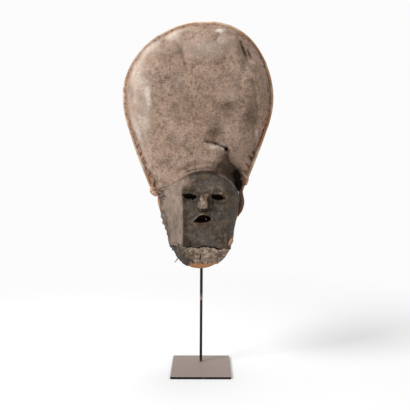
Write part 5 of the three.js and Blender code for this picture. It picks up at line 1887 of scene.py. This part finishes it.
# %% Thread finish
def thread_finish():
    paint = Paint("sewing_thread")
    grain = paint.grain(paint.place(), 420, 3, 0.6)
    twist = paint.grain(paint.stretched(paint.cloth(), (900.0, 900.0, 1.0)), 1.0, 2, 0.5)
    colour = paint.blend(grain.step(0.35, 0.7), tone(50, 30, 20), tone(92, 64, 46))
    return paint.surface(colour, grain * 0.1 + 0.85, twist, 0.0004)


sewing.data.materials.append(thread_finish())


# %% Steel finishes
def steel_finish(name, base, rubbed_and_sheen_tone, rust_from, **look):
    paint = Paint(name)
    clouds, grain = paint.grain(paint.place(), 60, 5, 0.6), paint.grain(paint.place(), 900, 2)
    rubbed = paint.amount("rubbed")
    rust = (clouds + grain * 0.25).step(rust_from, rust_from + 0.12)
    colour = paint.blend(rust * 0.55, base, tone(88, 58, 42))
    # Lighter tone: painted reflection on the plate's top, worn bright metal at the rod's and post's
    # ends.
    colour = paint.blend(rubbed, colour, paint.blend(clouds, rubbed_and_sheen_tone, tone(150, 136, 128)))
    return paint.surface(colour, clouds * 0.25 + 0.3, grain, 0.00015, 0.4, **look)


rod_material = steel_finish("stand_steel", tone(34, 30, 28), tone(150, 110, 84), 0.72,
                            Metallic=0.55)
plate_material = steel_finish("foot_steel", tone(20, 18, 17), tone(150, 137, 131), 0.70,
                              **{"Specular IOR Level": 0.1})
for piece in (rod, post):
    piece.data.materials.append(rod_material)
plate.data.materials.append(plate_material)

# %% [markdown]
# ## Floor and light
#
# The studio is white all round. One large soft light stands high at the left, as in the
# photograph, and the white room fills the shadows. The floor fades to pure white away from the
# mask, so that no horizon shows.

# %% Floor
WHITE = 0.97
FLOOR_RADIUS, FLOOR_ROWS, FLOOR_COLUMNS = 9000, 40, 64


def disc(radius, rows, columns):
    """A flat disc in rings."""
    r = np.linspace(0.001, 1, rows)[:, None] * radius
    turn = 2 * math.pi * np.arange(columns) / columns
    grid = np.stack(np.broadcast_arrays(r * np.cos(turn), r * np.sin(turn), 0 * r), -1)
    points = np.concatenate([grid.reshape(-1, 3), [[0, 0, 0]]])
    fan = pole_fans(rows, columns, flip=True)[:columns]
    return points, grid_quads(rows, columns, closed=True, flip=True), fan


floor = make_mesh("studio_floor", *disc(FLOOR_RADIUS, FLOOR_ROWS, FLOOR_COLUMNS))
paint = Paint("studio_floor")
away = paint.node("ShaderNodeVectorMath", {"operation": "LENGTH"}, {0: paint.place()}, 1)
ground = paint.node("ShaderNodeBsdfDiffuse", {}, {"Color": (0.86, 0.86, 0.86)})
glow = paint.node("ShaderNodeEmission", {}, {"Color": (WHITE, WHITE, WHITE), "Strength": 1.0})
shaders = {0: away.step(0.30, 1.1), 1: ground, 2: glow}
floor.data.materials.append(paint.finish(paint.node("ShaderNodeMixShader", {}, shaders)))

# %% Light
ROOM_FILL = 0.46


def soft_light(name, at, toward, size, watts):
    """A square soft light that faces a point."""
    data = bpy.data.lights.new(name, "AREA")
    data.size, data.energy = size, watts
    lamp = bpy.data.objects.new(name, data)
    lamp.location = at
    way = np.array(toward, float) - np.array(at, float)
    yaw, pitch = math.atan2(way[1], way[0]), math.atan2(-way[2], math.hypot(way[0], way[1]))
    lamp.rotation_euler = (math.pi / 2 - pitch, 0, yaw - math.pi / 2)
    bpy.context.scene.collection.objects.link(lamp)
    print(name, "at", at, "watts", watts)
    return lamp


soft_light("key", (-2.1, -1.25, 1.9), (0, 0, 0.5), 1.0, 74)
soft_light("top", (0.2, 0.3, 2.6), (0, 0, 0.2), 1.6, 26)

world = bpy.data.worlds.new("white_room")
world.use_nodes = True
room, join = world.node_tree.nodes, world.node_tree.links.new
room.clear()
kinds = ("ShaderNodeLightPath", "ShaderNodeMixShader", "ShaderNodeOutputWorld")
seen, either, result = (room.new(kind) for kind in kinds)
for socket, (level, strength) in enumerate([(1, ROOM_FILL), (WHITE, 1)], start=1):
    light = room.new("ShaderNodeBackground")
    light.inputs[0].default_value = (level, level, level, 1)
    light.inputs[1].default_value = strength
    join(light.outputs[0], either.inputs[socket])
join(seen.outputs[0], either.inputs[0])
join(either.outputs[0], result.inputs[0])
bpy.context.scene.world = world
bpy.context.scene.view_settings.view_transform = "Standard"

# %% Final update of the scene
bpy.context.view_layer.update()
